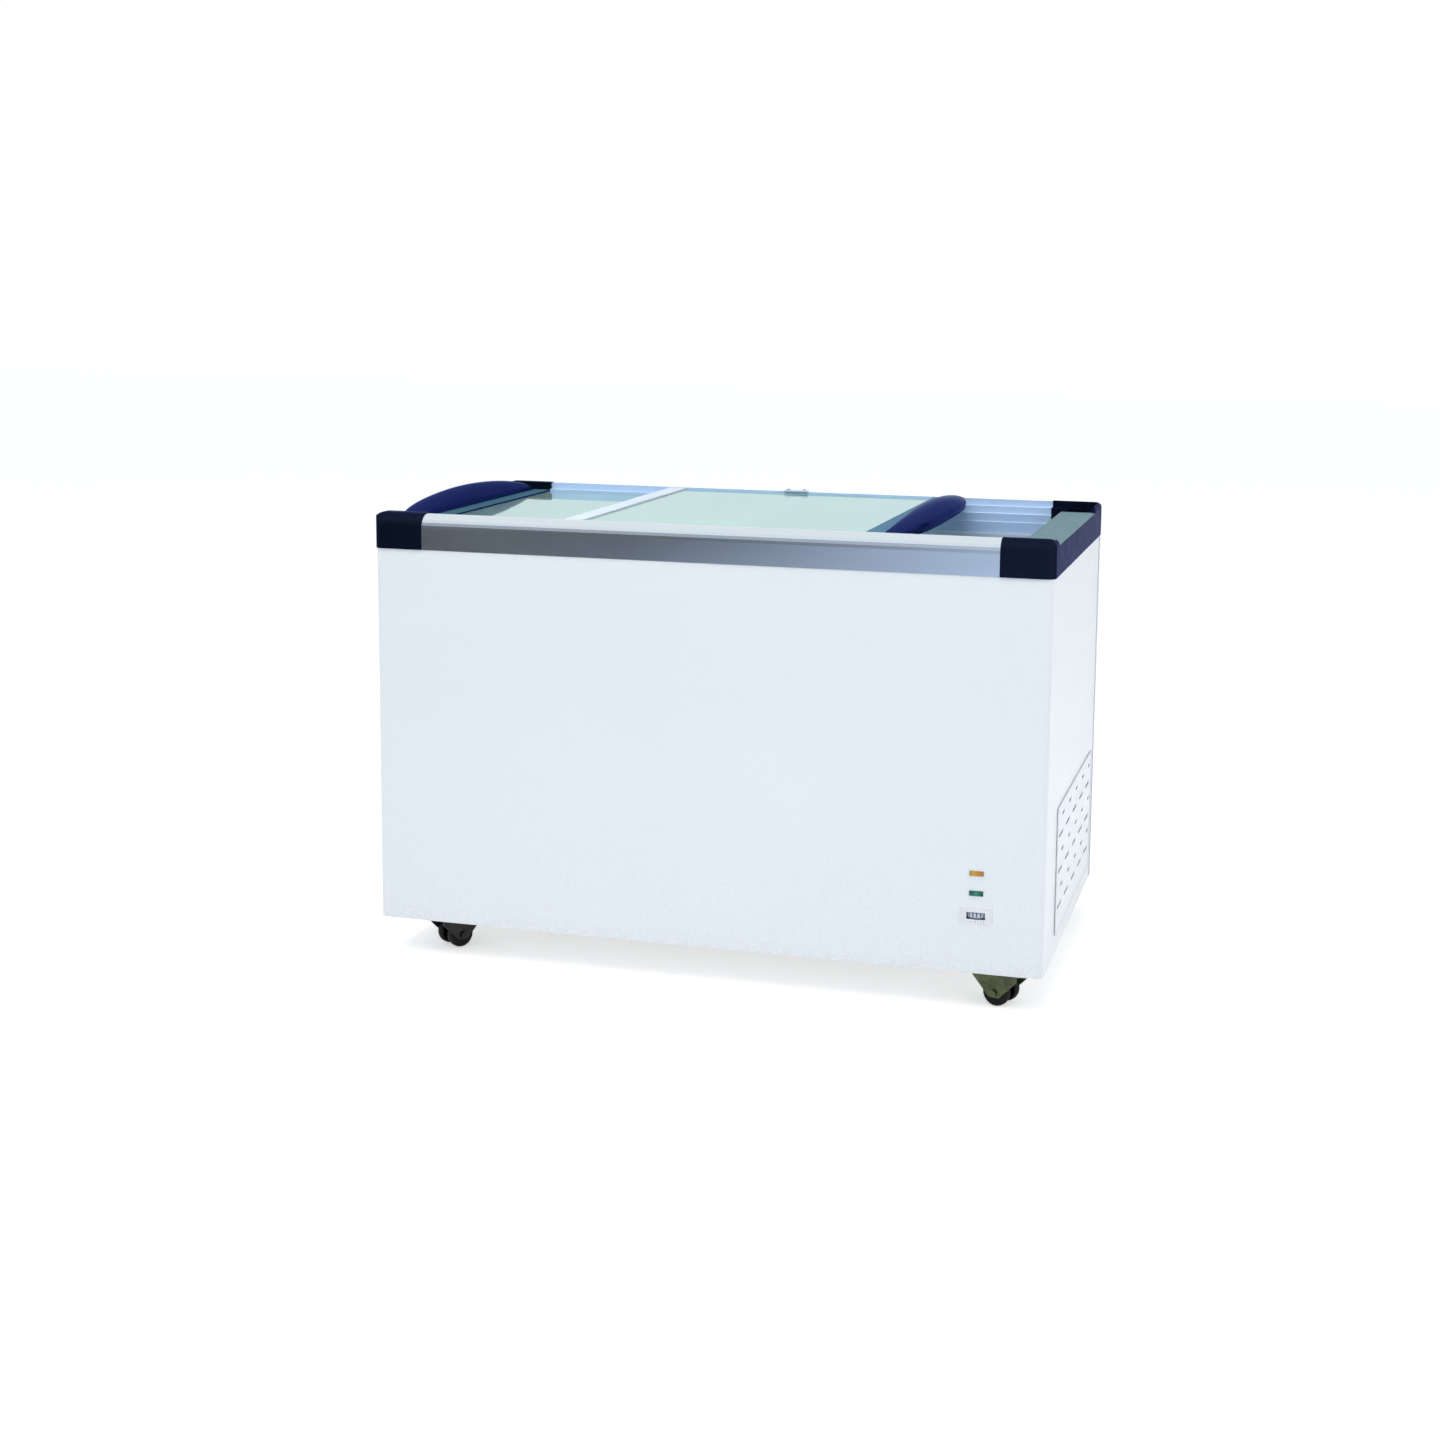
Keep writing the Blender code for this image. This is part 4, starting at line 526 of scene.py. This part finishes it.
def lamp_green():
    """Clear green lens with its bulb's glow in the middle."""
    low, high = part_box("lamp_lens")
    look = Look("lamp_green", specular_ior_level=0.3, emission_strength=0.20)
    middle = ((low.x + high.x) / 2, low.y, (low.z + high.z) / 2)
    reach = look.vector("DISTANCE", look.position, middle)
    glow = look.ramp(look.math("MULTIPLY", reach, 80.0), (0.0, (0.030, 0.330, 0.220)),
                     (0.30, (0.008, 0.120, 0.080)), (1.0, (0.004, 0.070, 0.055)))
    ribs = look.math("SINE", look.math("MULTIPLY", look.along(0), 4200.0))
    look.set("Base Color", glow)
    look.set("Emission Color", glow)
    look.set("Roughness", look.spread(look.noise(200, 3), 0.10, 0.22))
    look.bump(ribs, 0.00008, 0.5)
    return look.material


def dial_ribs():
    """Pale knurled rim with grooves painted dark as shade, told apart by the distance from the
    wheel's axis; a painted shadow darkens the bottom of the wheel, and the rim is darker along the
    top.
    """
    low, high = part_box("thermostat_wheel")
    look = Look("dial_ribs", specular_ior_level=0.45)
    axle = tuple(JOINTS["thermostat_turn"]["pos_m"])
    split = look.make("ShaderNodeSeparateXYZ")
    look.feed(split.inputs[0], look.vector("SUBTRACT", look.position, axle))
    squared = look.math("ADD", look.math("POWER", look.math("ABSOLUTE", split.outputs[0]), 2.0),
                        look.math("POWER", look.math("ABSOLUTE", split.outputs[1]), 2.0))
    radius = look.math("SQRT", squared)
    outer = (high.x - low.x) / 2
    rib = look.math("GREATER_THAN", radius, outer - 0.0006)
    level = look.along(2, low.z, high.z)
    # painted shadow across the bottom of the wheel; the rim is also darker along the top
    tone = look.ramp(level, (0.0, (0.05, 0.07, 0.13)),
                     (0.18, (0.10, 0.13, 0.22)), (0.28, (0.50, 0.56, 0.68)),
                     (0.86, (0.56, 0.61, 0.72)), (0.94, (0.30, 0.33, 0.44)))
    # painted shade in the grooves, darkest low and high on the wheel
    groove_shade = look.ramp(level, (0.0, (0.03, 0.04, 0.08)), (0.30, (0.26, 0.31, 0.42)),
                       (0.54, (0.28, 0.33, 0.44)), (0.62, (0.02, 0.025, 0.05)))
    look.set("Base Color", look.mix(rib, groove_shade, tone))
    look.set("Roughness", look.spread(look.noise(300, 3), 0.34, 0.50))
    look.bump(look.noise(1200, 2), 0.00004, 0.5)
    return look.material


def surface_below(name, x, y):
    """Height of a CAD node's highest face at a place in plan."""
    mesh = NODES[name].data
    tree = BVHTree.FromPolygons([vertex.co for vertex in mesh.vertices],
                                [face.vertices for face in mesh.polygons])
    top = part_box(name)[1].z + 0.1
    return tree.ray_cast(Vector((x, y, top)), Vector((0, 0, -1)))[0].z


def cap_plastic(side, sign):
    """Near-black glossy cap with blue reflections; its flat landing is painted grey-green as a
    painted reflection, and is rougher there.
    """
    cap = "%s_end_cap" % side
    low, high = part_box(cap)
    middle = (high.x if sign > 0 else low.x) - sign * CAP_WIDE / 2
    landing = surface_below(cap, middle, 0.0)
    recess = 0.0
    while surface_below(cap, middle, recess) > landing - 0.001:
        recess += 0.002
    look = Look("cap_plastic_" + side, specular_ior_level=0.0, coat_weight=0.05,
                coat_roughness=0.12, specular_tint=(0.10, 0.15, 0.50))
    # the caps and the handles are one navy plastic: this darker navy is a painted-shade copy of the
    # handles' blue
    navy, satin = (0.006, 0.011, 0.026), (0.185, 0.285, 0.310)
    offset = look.math("ABSOLUTE", look.math("SUBTRACT", look.along(2), landing))
    flat = look.math("MULTIPLY", look.math("GREATER_THAN", look.facing(2), 0.99),
                     look.math("LESS_THAN", offset, 0.0005))
    before = look.math("LESS_THAN", look.along(1), recess - 0.004)
    flat = look.math("MULTIPLY", flat, before)
    # painted reflection: the grey-green of the flat landing, broken up a little by noise
    wear_and_sheen = look.math("MULTIPLY", flat, look.ramp(look.noise(60, 5), (0.30, 0.88), (0.62, 1.0)))
    tone = look.mix(look.noise(9, 4), scaled(navy, 0.86), scaled(navy, 1.14))
    look.set("Base Color", look.mix(wear_and_sheen, tone, satin))
    look.set("Metallic", look.math("MULTIPLY", look.math("SUBTRACT", 1.0, flat), 0.5))
    scratches = look.ramp(look.noise(70, 2, (1, 9, 1)), (0.60, 0.0), (0.68, 0.08))
    rough = look.math("ADD", look.spread(look.noise(24, 5), 0.20, 0.29), scratches)
    look.set("Roughness", look.math("ADD", rough, look.math("MULTIPLY", flat, 0.16)))
    look.bump(look.noise(1100, 2), 0.00003, 0.5)
    look.bump(look.noise(14, 1), 0.0004, 0.12)
    return look.material


def handle_plastic(side):
    """Deep blue bow; the flat faces of the flange beside the glass that look up are painted paler
    and greyer as a painted reflection.
    """
    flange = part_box("%s_lid_end_strip" % side)[1].z
    look = Look("handle_plastic_" + side, specular_ior_level=0.0, coat_weight=0.06,
                coat_roughness=0.08, metallic=0.5, specular_tint=(0.10, 0.17, 0.50))
    # this lighter blue is a painted-light copy of the caps' navy, which is the same plastic
    blue, grey = (0.012, 0.027, 0.110), (0.120, 0.290, 0.350)
    tone = look.mix(look.noise(5, 2), scaled(blue, 0.90), scaled(blue, 1.10))
    # painted reflection on the flat faces of the flange that look up
    flat = look.math("GREATER_THAN", look.facing(2), 0.985)
    low = look.math("LESS_THAN", look.along(2), flange + 0.0006)
    edge = look.ramp(look.noise(40, 4), (0.35, 0.92), (0.70, 1.0))
    pale = look.math("MULTIPLY", look.math("MULTIPLY", flat, low), edge)
    look.set("Base Color", look.mix(pale, tone, grey))
    scratches = look.ramp(look.noise(70, 2, (1, 9, 1)), (0.60, 0.0), (0.68, 1.0))
    rough = look.spread(look.noise(12, 2), 0.16, 0.21)
    look.set("Roughness", look.math("ADD", rough, look.math("MULTIPLY", scratches, 0.03)))
    look.bump(look.noise(1100, 2), 0.00001, 0.2)
    return look.material


# ---------------------------------------------------------------- dressing the CAD nodes
def dress(material, *names):
    for name in names:
        mesh = NODES[name].data
        mesh.materials.clear()
        mesh.materials.append(material)


def soften(width, *names):
    """Rounds a CAD node's sharp edges a little, with modifiers only."""
    for name in names:
        node = NODES[name]
        weld = node.modifiers.new("weld", "WELD")
        weld.merge_threshold = WELD
        edge = node.modifiers.new("soft_edges", "BEVEL")
        edge.width = width
        edge.segments = 2
        edge.limit_method = "ANGLE"
        edge.angle_limit = math.radians(50)
        edge.use_clamp_overlap = True


PAINT = painted_sheet("body_paint", (0.80, 0.845, 0.885), (0.52, 0.52, 0.50))
ALUMINIUM = anodised_aluminium("rail_aluminium", (0.63, 0.70, 0.76), (0.79, 0.87, 0.93), 1.0)
# the last two colours are the painted shade of the front-facing walls and the painted light of the
# up-facing ledges
COLD_RAIL = anodised_aluminium("rear_rail_aluminium", (0.64, 0.74, 0.86), (0.74, 0.83, 0.94), 0.0,
                               (0.46, 0.64, 0.90), (0.88, 0.94, 1.0))
HANDLES = {side: handle_plastic(side) for side in ("left", "right")}
PALE_PLASTIC = moulded_plastic("pale_plastic", (0.72, 0.79, 0.88), 0.36, 0.15)
WHITE_PLASTIC = moulded_plastic("white_plastic", (0.80, 0.82, 0.85), 0.34, 0.15)
BLACK_PLASTIC = moulded_plastic("black_plastic", (0.010, 0.010, 0.011), 0.42, 0.1)
ZINC = zinc_sheet("zinc_sheet", (0.42, 0.43, 0.43), (0.66, 0.67, 0.67), (0.34, 0.34, 0.33))
YELLOW_ZINC = zinc_sheet("zinc_yellow", (0.050, 0.062, 0.018), (0.095, 0.112, 0.040),
                         (0.020, 0.024, 0.010), 0.35)
# near-black copy of the yellow zinc for the left casters: painted shade
SHADED_ZINC = zinc_sheet("zinc_painted_shade", (0.004, 0.005, 0.004), (0.011, 0.013, 0.009),
                        (0.022, 0.025, 0.018), 0.35)
FORKS = {"front_left": SHADED_ZINC, "rear_left": SHADED_ZINC}
ENAMEL = black_enamel()
RUBBER = rubber("black_rubber", (0.012, 0.012, 0.012))
DARK_STEEL = zinc_sheet("screw_steel", (0.16, 0.16, 0.18), (0.34, 0.34, 0.36), (0.08, 0.08, 0.09))


def dress_cad():
    dress(PAINT, "outer_shell", "rear_panel", "side_grille")
    dress(liner_paint(), "inner_liner")
    dress(rigid_foam(), "insulation_foam")
    dress(ALUMINIUM, "front_rail")
    dress(COLD_RAIL, "rear_rail")
    for side, sign in SIDES:
        dress(cap_plastic(side, sign), "%s_end_cap" % side)
    for side, handle in HANDLES.items():
        dress(handle, "%s_lid_handle" % side)
    dress(tempered_glass(), "left_lid_glass", "right_lid_glass")
    trims = ["%s_lid_%s" % (side, part) for side in ("left", "right")
             for part in ("end_strip", "front_runner", "rear_runner")]
    dress(PALE_PLASTIC, "breaker_collar", "drain_tube", "rear_rail_stop", *trims)
    dress(WHITE_PLASTIC, "thermostat_plate", "switch_bezel", "lamp_bezel")
    dress(BLACK_PLASTIC, "thermostat_body", "relay_box", "fan_blade", "cable_gland")
    dress(ZINC, "base_pan", "machine_bulkhead", "compressor_plate", "fan_frame")
    dress(ENAMEL, "compressor", "fan_motor")
    dress(condenser_fins(), "condenser")
    dress(RUBBER, "drain_plug", "grommet_1", "grommet_2", "grommet_3", "grommet_4")
    dress(copper_tube(), "filter_drier", "discharge_pipe", "suction_pipe")
    dress(rocker_amber(), "rocker_switch")
    dress(lamp_green(), "lamp_lens")
    dress(dial_ribs(), "thermostat_wheel")
    for corner in CORNERS:
        # the left casters' plates and forks take the painted-shade copy of the zinc
        dress(FORKS.get(corner, YELLOW_ZINC), "caster_plate_" + corner, "caster_fork_" + corner)
        dress(wheel_rubber(corner), "caster_wheels_" + corner)
    soften(0.0004, "left_end_cap", "right_end_cap", "thermostat_plate", "side_grille")


# ---------------------------------------------------------------- shapes
def piece(name, work, material, body):
    """A finished mesh that moves with a CAD body."""
    mesh = bpy.data.meshes.new(name)
    work.to_mesh(mesh)
    work.free()
    mesh.materials.append(material)
    mesh.shade_smooth()
    mesh.set_sharp_from_angle(angle=math.radians(SMOOTH_ANGLE))
    obj = add(name, mesh)
    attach(obj, body)


def tube(work, path, radius, sides=8, closed=False):
    """A round bead along a path, closed or with filled ends."""
    points = [Vector(point) for point in path]
    count = len(points)
    rings = []
    for i, point in enumerate(points):
        before = points[i - 1] if i or closed else point
        after = points[(i + 1) % count] if i < count - 1 or closed else point
        direction = (after - before).normalized()
        side = direction.cross(Vector((0, 0, 1)))
        if side.length < 0.1:
            side = direction.cross(Vector((0, 1, 0)))
        side.normalize()
        up = side.cross(direction)
        rings.append([work.verts.new(point + radius * (math.cos(a) * side + math.sin(a) * up))
                      for a in (2 * math.pi * k / sides for k in range(sides))])
    for i in range(count if closed else count - 1):
        first, second = rings[i], rings[(i + 1) % count]
        for k in range(sides):
            m = (k + 1) % sides
            work.faces.new((first[k], first[m], second[m], second[k]))
    if not closed:
        work.faces.new(rings[0][::-1])
        work.faces.new(rings[-1])
    bmesh.ops.recalc_face_normals(work, faces=work.faces)


def lathe(work, profile, place, axis, steps=24):
    """Turns (radius, height) points round an axis through a place."""
    turn = Vector(axis).to_track_quat("Z", "X").to_matrix()
    rings = []
    for radius, height in profile:
        if radius == 0:
            rings.append([work.verts.new(Vector(place) + turn @ Vector((0, 0, height)))])
            continue
        rings.append([work.verts.new(Vector(place) + turn @ Vector(
            (radius * math.cos(a), radius * math.sin(a), height)))
            for a in (2 * math.pi * k / steps for k in range(steps))])
    for first, second in zip(rings, rings[1:]):
        for k in range(steps):
            m = (k + 1) % steps
            corners = [first[k % len(first)], first[m % len(first)],
                       second[m % len(second)], second[k % len(second)]]
            work.faces.new(list(dict.fromkeys(corners)))
    bmesh.ops.recalc_face_normals(work, faces=work.faces)


def ring_path(middle, radius, axis, steps=40):
    turn = Vector(axis).to_track_quat("Z", "X").to_matrix()
    return [Vector(middle) + turn @ Vector((radius * math.cos(a), radius * math.sin(a), 0))
            for a in (2 * math.pi * k / steps for k in range(steps))]


def screw_head(work, place, axis, radius, height):
    """Domed head with a cross recess, which comes from pulling the inner points down."""
    steps = 24
    turn = Vector(axis).to_track_quat("Z", "X").to_matrix()
    arm, depth = radius * 0.16, height * 0.55
    rings = []
    for share in (1.0, 0.94, 0.80, 0.62, 0.50, 0.38, 0.26, 0.15):
        ring = []
        for k in range(steps):
            a = 2 * math.pi * k / steps
            x, y = radius * share * math.cos(a), radius * share * math.sin(a)
            z = height * (1 - share ** 3)
            if share < 0.6 and min(abs(x), abs(y)) < arm:
                z -= depth
            ring.append(work.verts.new(Vector(place) + turn @ Vector((x, y, z))))
        rings.append(ring)
    centre = work.verts.new(Vector(place) + turn @ Vector((0, 0, height - depth)))
    for first, second in zip(rings, rings[1:]):
        for k in range(steps):
            m = (k + 1) % steps
            work.faces.new((first[k], first[m], second[m], second[k]))
    for k in range(steps):
        work.faces.new((rings[-1][k], rings[-1][(k + 1) % steps], centre))
    work.faces.new(rings[0][::-1])
    bmesh.ops.recalc_face_normals(work, faces=work.faces)


def hex_head(work, place, axis, radius, height):
    """Hexagon head with a chamfered top on a round washer."""
    washer = [(0, 0), (radius * 1.35, 0), (radius * 1.35, height * 0.22), (0, height * 0.22)]
    lathe(work, washer, place, axis, 24)
    turn = Vector(axis).to_track_quat("Z", "X").to_matrix()
    rings = []
    for share, level in ((1.0, 0.22), (1.0, 0.82), (0.86, 1.0)):
        rings.append([work.verts.new(Vector(place) + turn @ Vector(
            (radius * share * math.cos(a), radius * share * math.sin(a), height * level)))
            for a in (math.pi * k / 3 for k in range(6))])
    for first, second in zip(rings, rings[1:]):
        for k in range(6):
            m = (k + 1) % 6
            work.faces.new((first[k], first[m], second[m], second[k]))
    work.faces.new(rings[-1])
    work.faces.new(rings[0][::-1])
    bmesh.ops.recalc_face_normals(work, faces=work.faces)


def holes_through(name, axis):
    """Boxes of the holes that run through a flat CAD node along an axis, smallest first."""
    work = bmesh.new()
    work.from_mesh(NODES[name].data)
    bmesh.ops.remove_doubles(work, verts=work.verts, dist=WELD)
    walls = [face for face in work.faces if abs(face.normal[axis]) < 0.1]
    left, found = set(walls), []
    while left:
        group, edge = [], [left.pop()]
        while edge:
            face = edge.pop()
            group.append(face)
            near = {other for side in face.edges for other in side.link_faces if other in left}
            left -= near
            edge += near
        points = [corner.co for face in group for corner in face.verts]
        found.append(tuple(Vector(map(pick, *points)) for pick in (min, max)))
    work.free()
    found.sort(key=lambda box: (box[1] - box[0]).length)
    return found[:-1], found[-1]


# ---------------------------------------------------------------- detail pieces
def make_handle_beads():
    """A moulded bead along the foot of each bow, read from the handle's own outline."""
    for side, sign in SIDES:
        node = "%s_lid_handle" % side
        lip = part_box("%s_lid_end_strip" % side)[1].z
        rows = {}
        for vertex in NODES[node].data.vertices:
            key, reach = round(vertex.co.y, 4), vertex.co.x * sign
            rows[key] = max(rows.get(key, reach), reach)
        ends = 0.985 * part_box(node)[1].y
        path = [(sign * (rows[y] - 0.0002), y, lip - 0.0028) for y in sorted(rows) if abs(y) < ends]
        work = bmesh.new()
        tube(work, path, HANDLE_BEAD)
        piece("%s_handle_bead" % side, work, HANDLES[side], "%s_lid" % side)


def make_lid_bumpers():
    """Rubber buttons on the inner ends of the lids."""
    for side, sign in SIDES:
        low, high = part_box("%s_lid_end_strip" % side)
        work = bmesh.new()
        x = low.x if sign > 0 else high.x
        for y in (low.y + 0.05, high.y - 0.05):
            lathe(work, [(0, 0.0010), (0.0022, 0.0009), (0.0034, 0.0), (0, 0)],
                  (x, y, (low.z + high.z) / 2), (-sign, 0, 0), 16)
        piece("%s_lid_bumpers" % side, work, RUBBER, "%s_lid" % side)


def make_stop_screws():
    """One screw at each end of the lids' stop on the rear rail."""
    low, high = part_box("rear_rail_stop")
    work = bmesh.new()
    y = low.y + 0.008
    for x in (low.x + 0.008, high.x - 0.008):
        screw_head(work, (x, y, high.z - 0.0009), (0, 0, 1), *STOP_SCREW)
    piece("stop_screws", work, DARK_STEEL, "cabinet")


def make_cap_screws():
    """Two screws in the floor of the recess at each cap's rear corner."""
    for side, sign in SIDES:
        name = "%s_end_cap" % side
        low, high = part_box(name)
        outer = high.x if sign > 0 else low.x
        work = bmesh.new()
        for share in (0.36, 0.70):
            x, y = outer - sign * CAP_WIDE * share, high.y - 0.052
            seat = surface_below(name, x, y) - 0.0002
            screw_head(work, (x, y, seat), (0, 0, 1), *CAP_SCREW)
        piece("%s_cap_screws" % side, work, DARK_STEEL, "cabinet")


def make_rear_screws():
    """Screws all round the edge of the rear panel."""
    low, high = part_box("rear_panel")
    work = bmesh.new()
    span_x, span_z = high.x - low.x, high.z - low.z
    places = [(low.x + span_x * share, z) for share in (0.02, 0.26, 0.5, 0.74, 0.98)
              for z in (low.z + 0.02, high.z - 0.02)]
    places += [(low.x + span_x * across, low.z + span_z * share) for across in (0.02, 0.98)
               for share in (0.35, 0.65)]
    for x, z in places:
        screw_head(work, (x, high.y - 0.0004, z), (0, 1, 0), *REAR_SCREW)
    piece("rear_panel_screws", work, ZINC, "cabinet")


def blade(work, profile, y_near, y_far, thickness=0.0006):
    """A bent strip that runs along Y, from (x, z) points of its upper face."""
    rows = []
    for drop in (0.0, -thickness):
        for y in (y_near, y_far):
            rows.append([work.verts.new((x, y, z + drop)) for x, z in profile])
    near_top, far_top, near_low, far_low = rows
    for k in range(len(profile) - 1):
        for a, b in ((near_top, far_top), (far_top, far_low), (far_low, near_low),
                     (near_low, near_top)):
            work.faces.new((a[k], a[k + 1], b[k + 1], b[k]))
    for k in (0, -1):
        work.faces.new((near_top[k], far_top[k], far_low[k], near_low[k]))
    bmesh.ops.recalc_face_normals(work, faces=work.faces)


def make_grille_details():
    """Bead round the vent panel, a lip and a bent louvre at each slot, and the panel's screws."""
    slots, rim = holes_through("side_grille", 0)
    face = rim[1].x
    corner = 0.004
    seam = Vector((0, 0.0002, 0.0002))
    low, high = rim[0] - seam, rim[1] + seam
    left, right, bottom, top = low.y + corner, high.y - corner, low.z + corner, high.z - corner
    path = []
    turns = ((right, top), (left, top), (left, bottom), (right, bottom))
    for quarter, (y, z) in enumerate(turns):
        for k in range(5):
            a = math.radians(90 * quarter + 22.5 * k)
            path.append((face, y + corner * math.cos(a), z + corner * math.sin(a)))
    work = bmesh.new()
    tube(work, path, GRILLE_BEAD, closed=True)
    for first, last in slots:
        run = [(face, first.y + 0.001, last.z), (face, (first.y + last.y) / 2, last.z + 0.0002),
               (face, last.y - 0.001, last.z)]
        tube(work, run, SLOT_LIP)
    piece("grille_rim_and_lips", work, PAINT, "cabinet")
    work = bmesh.new()
    for y in (low.y + 0.012, (low.y + high.y) / 2, high.y - 0.012):
        for z in (low.z + 0.008, high.z - 0.008):
            screw_head(work, (face - 0.0002, y, z), (1, 0, 0), *GRILLE_SCREW)
    piece("grille_screws", work, WHITE_PLASTIC, "cabinet")
    work = bmesh.new()
    back = rim[0].x
    for first, last in slots:
        run = [(0.0, last.z - 0.0004), (0.0008, last.z - 0.0012), (0.0020, last.z - 0.0032),
               (0.0030, first.z - 0.0006), (0.0034, first.z - 0.0030)]
        blade(work, [(back - 0.0002 - deep, z) for deep, z in run], first.y, last.y)
    piece("grille_louvres", work, PAINT, "cabinet")


def make_caster_details():
    """Bolts under each plate, and two pressed rings for the ball race on each fork."""
    for corner in CORNERS:
        low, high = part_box("caster_plate_" + corner)
        x, y, fork_top = JOINTS["swivel_" + corner]["pos_m"]
        half = (high.x - low.x) / 2 - 0.0085
        seat = high.z - 0.003
        work = bmesh.new()
        for bolt_x in (x - half, x + half):
            for bolt_y in (y - half, y + half):
                hex_head(work, (bolt_x, bolt_y, seat), (0, 0, -1), *PLATE_BOLT)
        piece("caster_bolts_" + corner, work, DARK_STEEL, "cabinet")
        work = bmesh.new()
        for lift, reach, thick in ((0.0004, 0.0262, 0.0010), (0.0002, 0.0108, 0.0006)):
            path = ring_path((x, y, fork_top + lift), reach, (0, 0, 1))
            tube(work, path, thick, closed=True)
        # the left casters' race rings take the painted-shade copy too
        fork_look = FORKS.get(corner, YELLOW_ZINC)
        piece("caster_race_" + corner, work, fork_look, "fork_" + corner)


def make_compressor_details():
    """Weld seam round the pot."""
    low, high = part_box("compressor")
    middle = ((low.x + high.x) / 2, (low.y + high.y) / 2, low.z + (high.z - low.z) * 0.56)
    work = bmesh.new()
    path = ring_path(middle, (high.x - low.x) / 2, (0, 0, 1), 56)
    tube(work, path, WELD_SEAM, closed=True)
    piece("compressor_seam", work, ENAMEL, "cabinet")


def make_dial_marks():
    """Seven plain bars, each a little taller, under the thermostat's window."""
    low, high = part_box("thermostat_plate")
    work = bmesh.new()
    middle = (low.x + high.x) / 2
    for i in range(7):
        x = middle + (i - 3) * 0.0046
        base = low.z + 0.0022
        top = base + 0.0007 + 0.00022 * i
        outline = ((x - 0.0005, base), (x + 0.0005, base), (x + 0.0005, top), (x - 0.0005, top))
        front, back = ([work.verts.new((across, low.y + deep, up)) for across, up in outline]
                       for deep in (-0.00004, 0.00026))
        work.faces.new(front)
        work.faces.new(back[::-1])
        for k in range(4):
            m = (k + 1) % 4
            work.faces.new((front[k], back[k], back[m], front[m]))
    bmesh.ops.recalc_face_normals(work, faces=work.faces)
    piece("dial_marks", work, BLACK_PLASTIC, "cabinet")


def make_details():
    make_handle_beads()
    make_lid_bumpers()
    make_stop_screws()
    make_cap_screws()
    make_rear_screws()
    make_grille_details()
    make_caster_details()
    make_compressor_details()
    make_dial_marks()


def build():
    bpy.context.scene.view_settings.view_transform = "Standard"
    make_camera()
    make_world()
    make_floor()
    make_cards()
    make_lamps()
    dress_cad()
    make_details()


build()
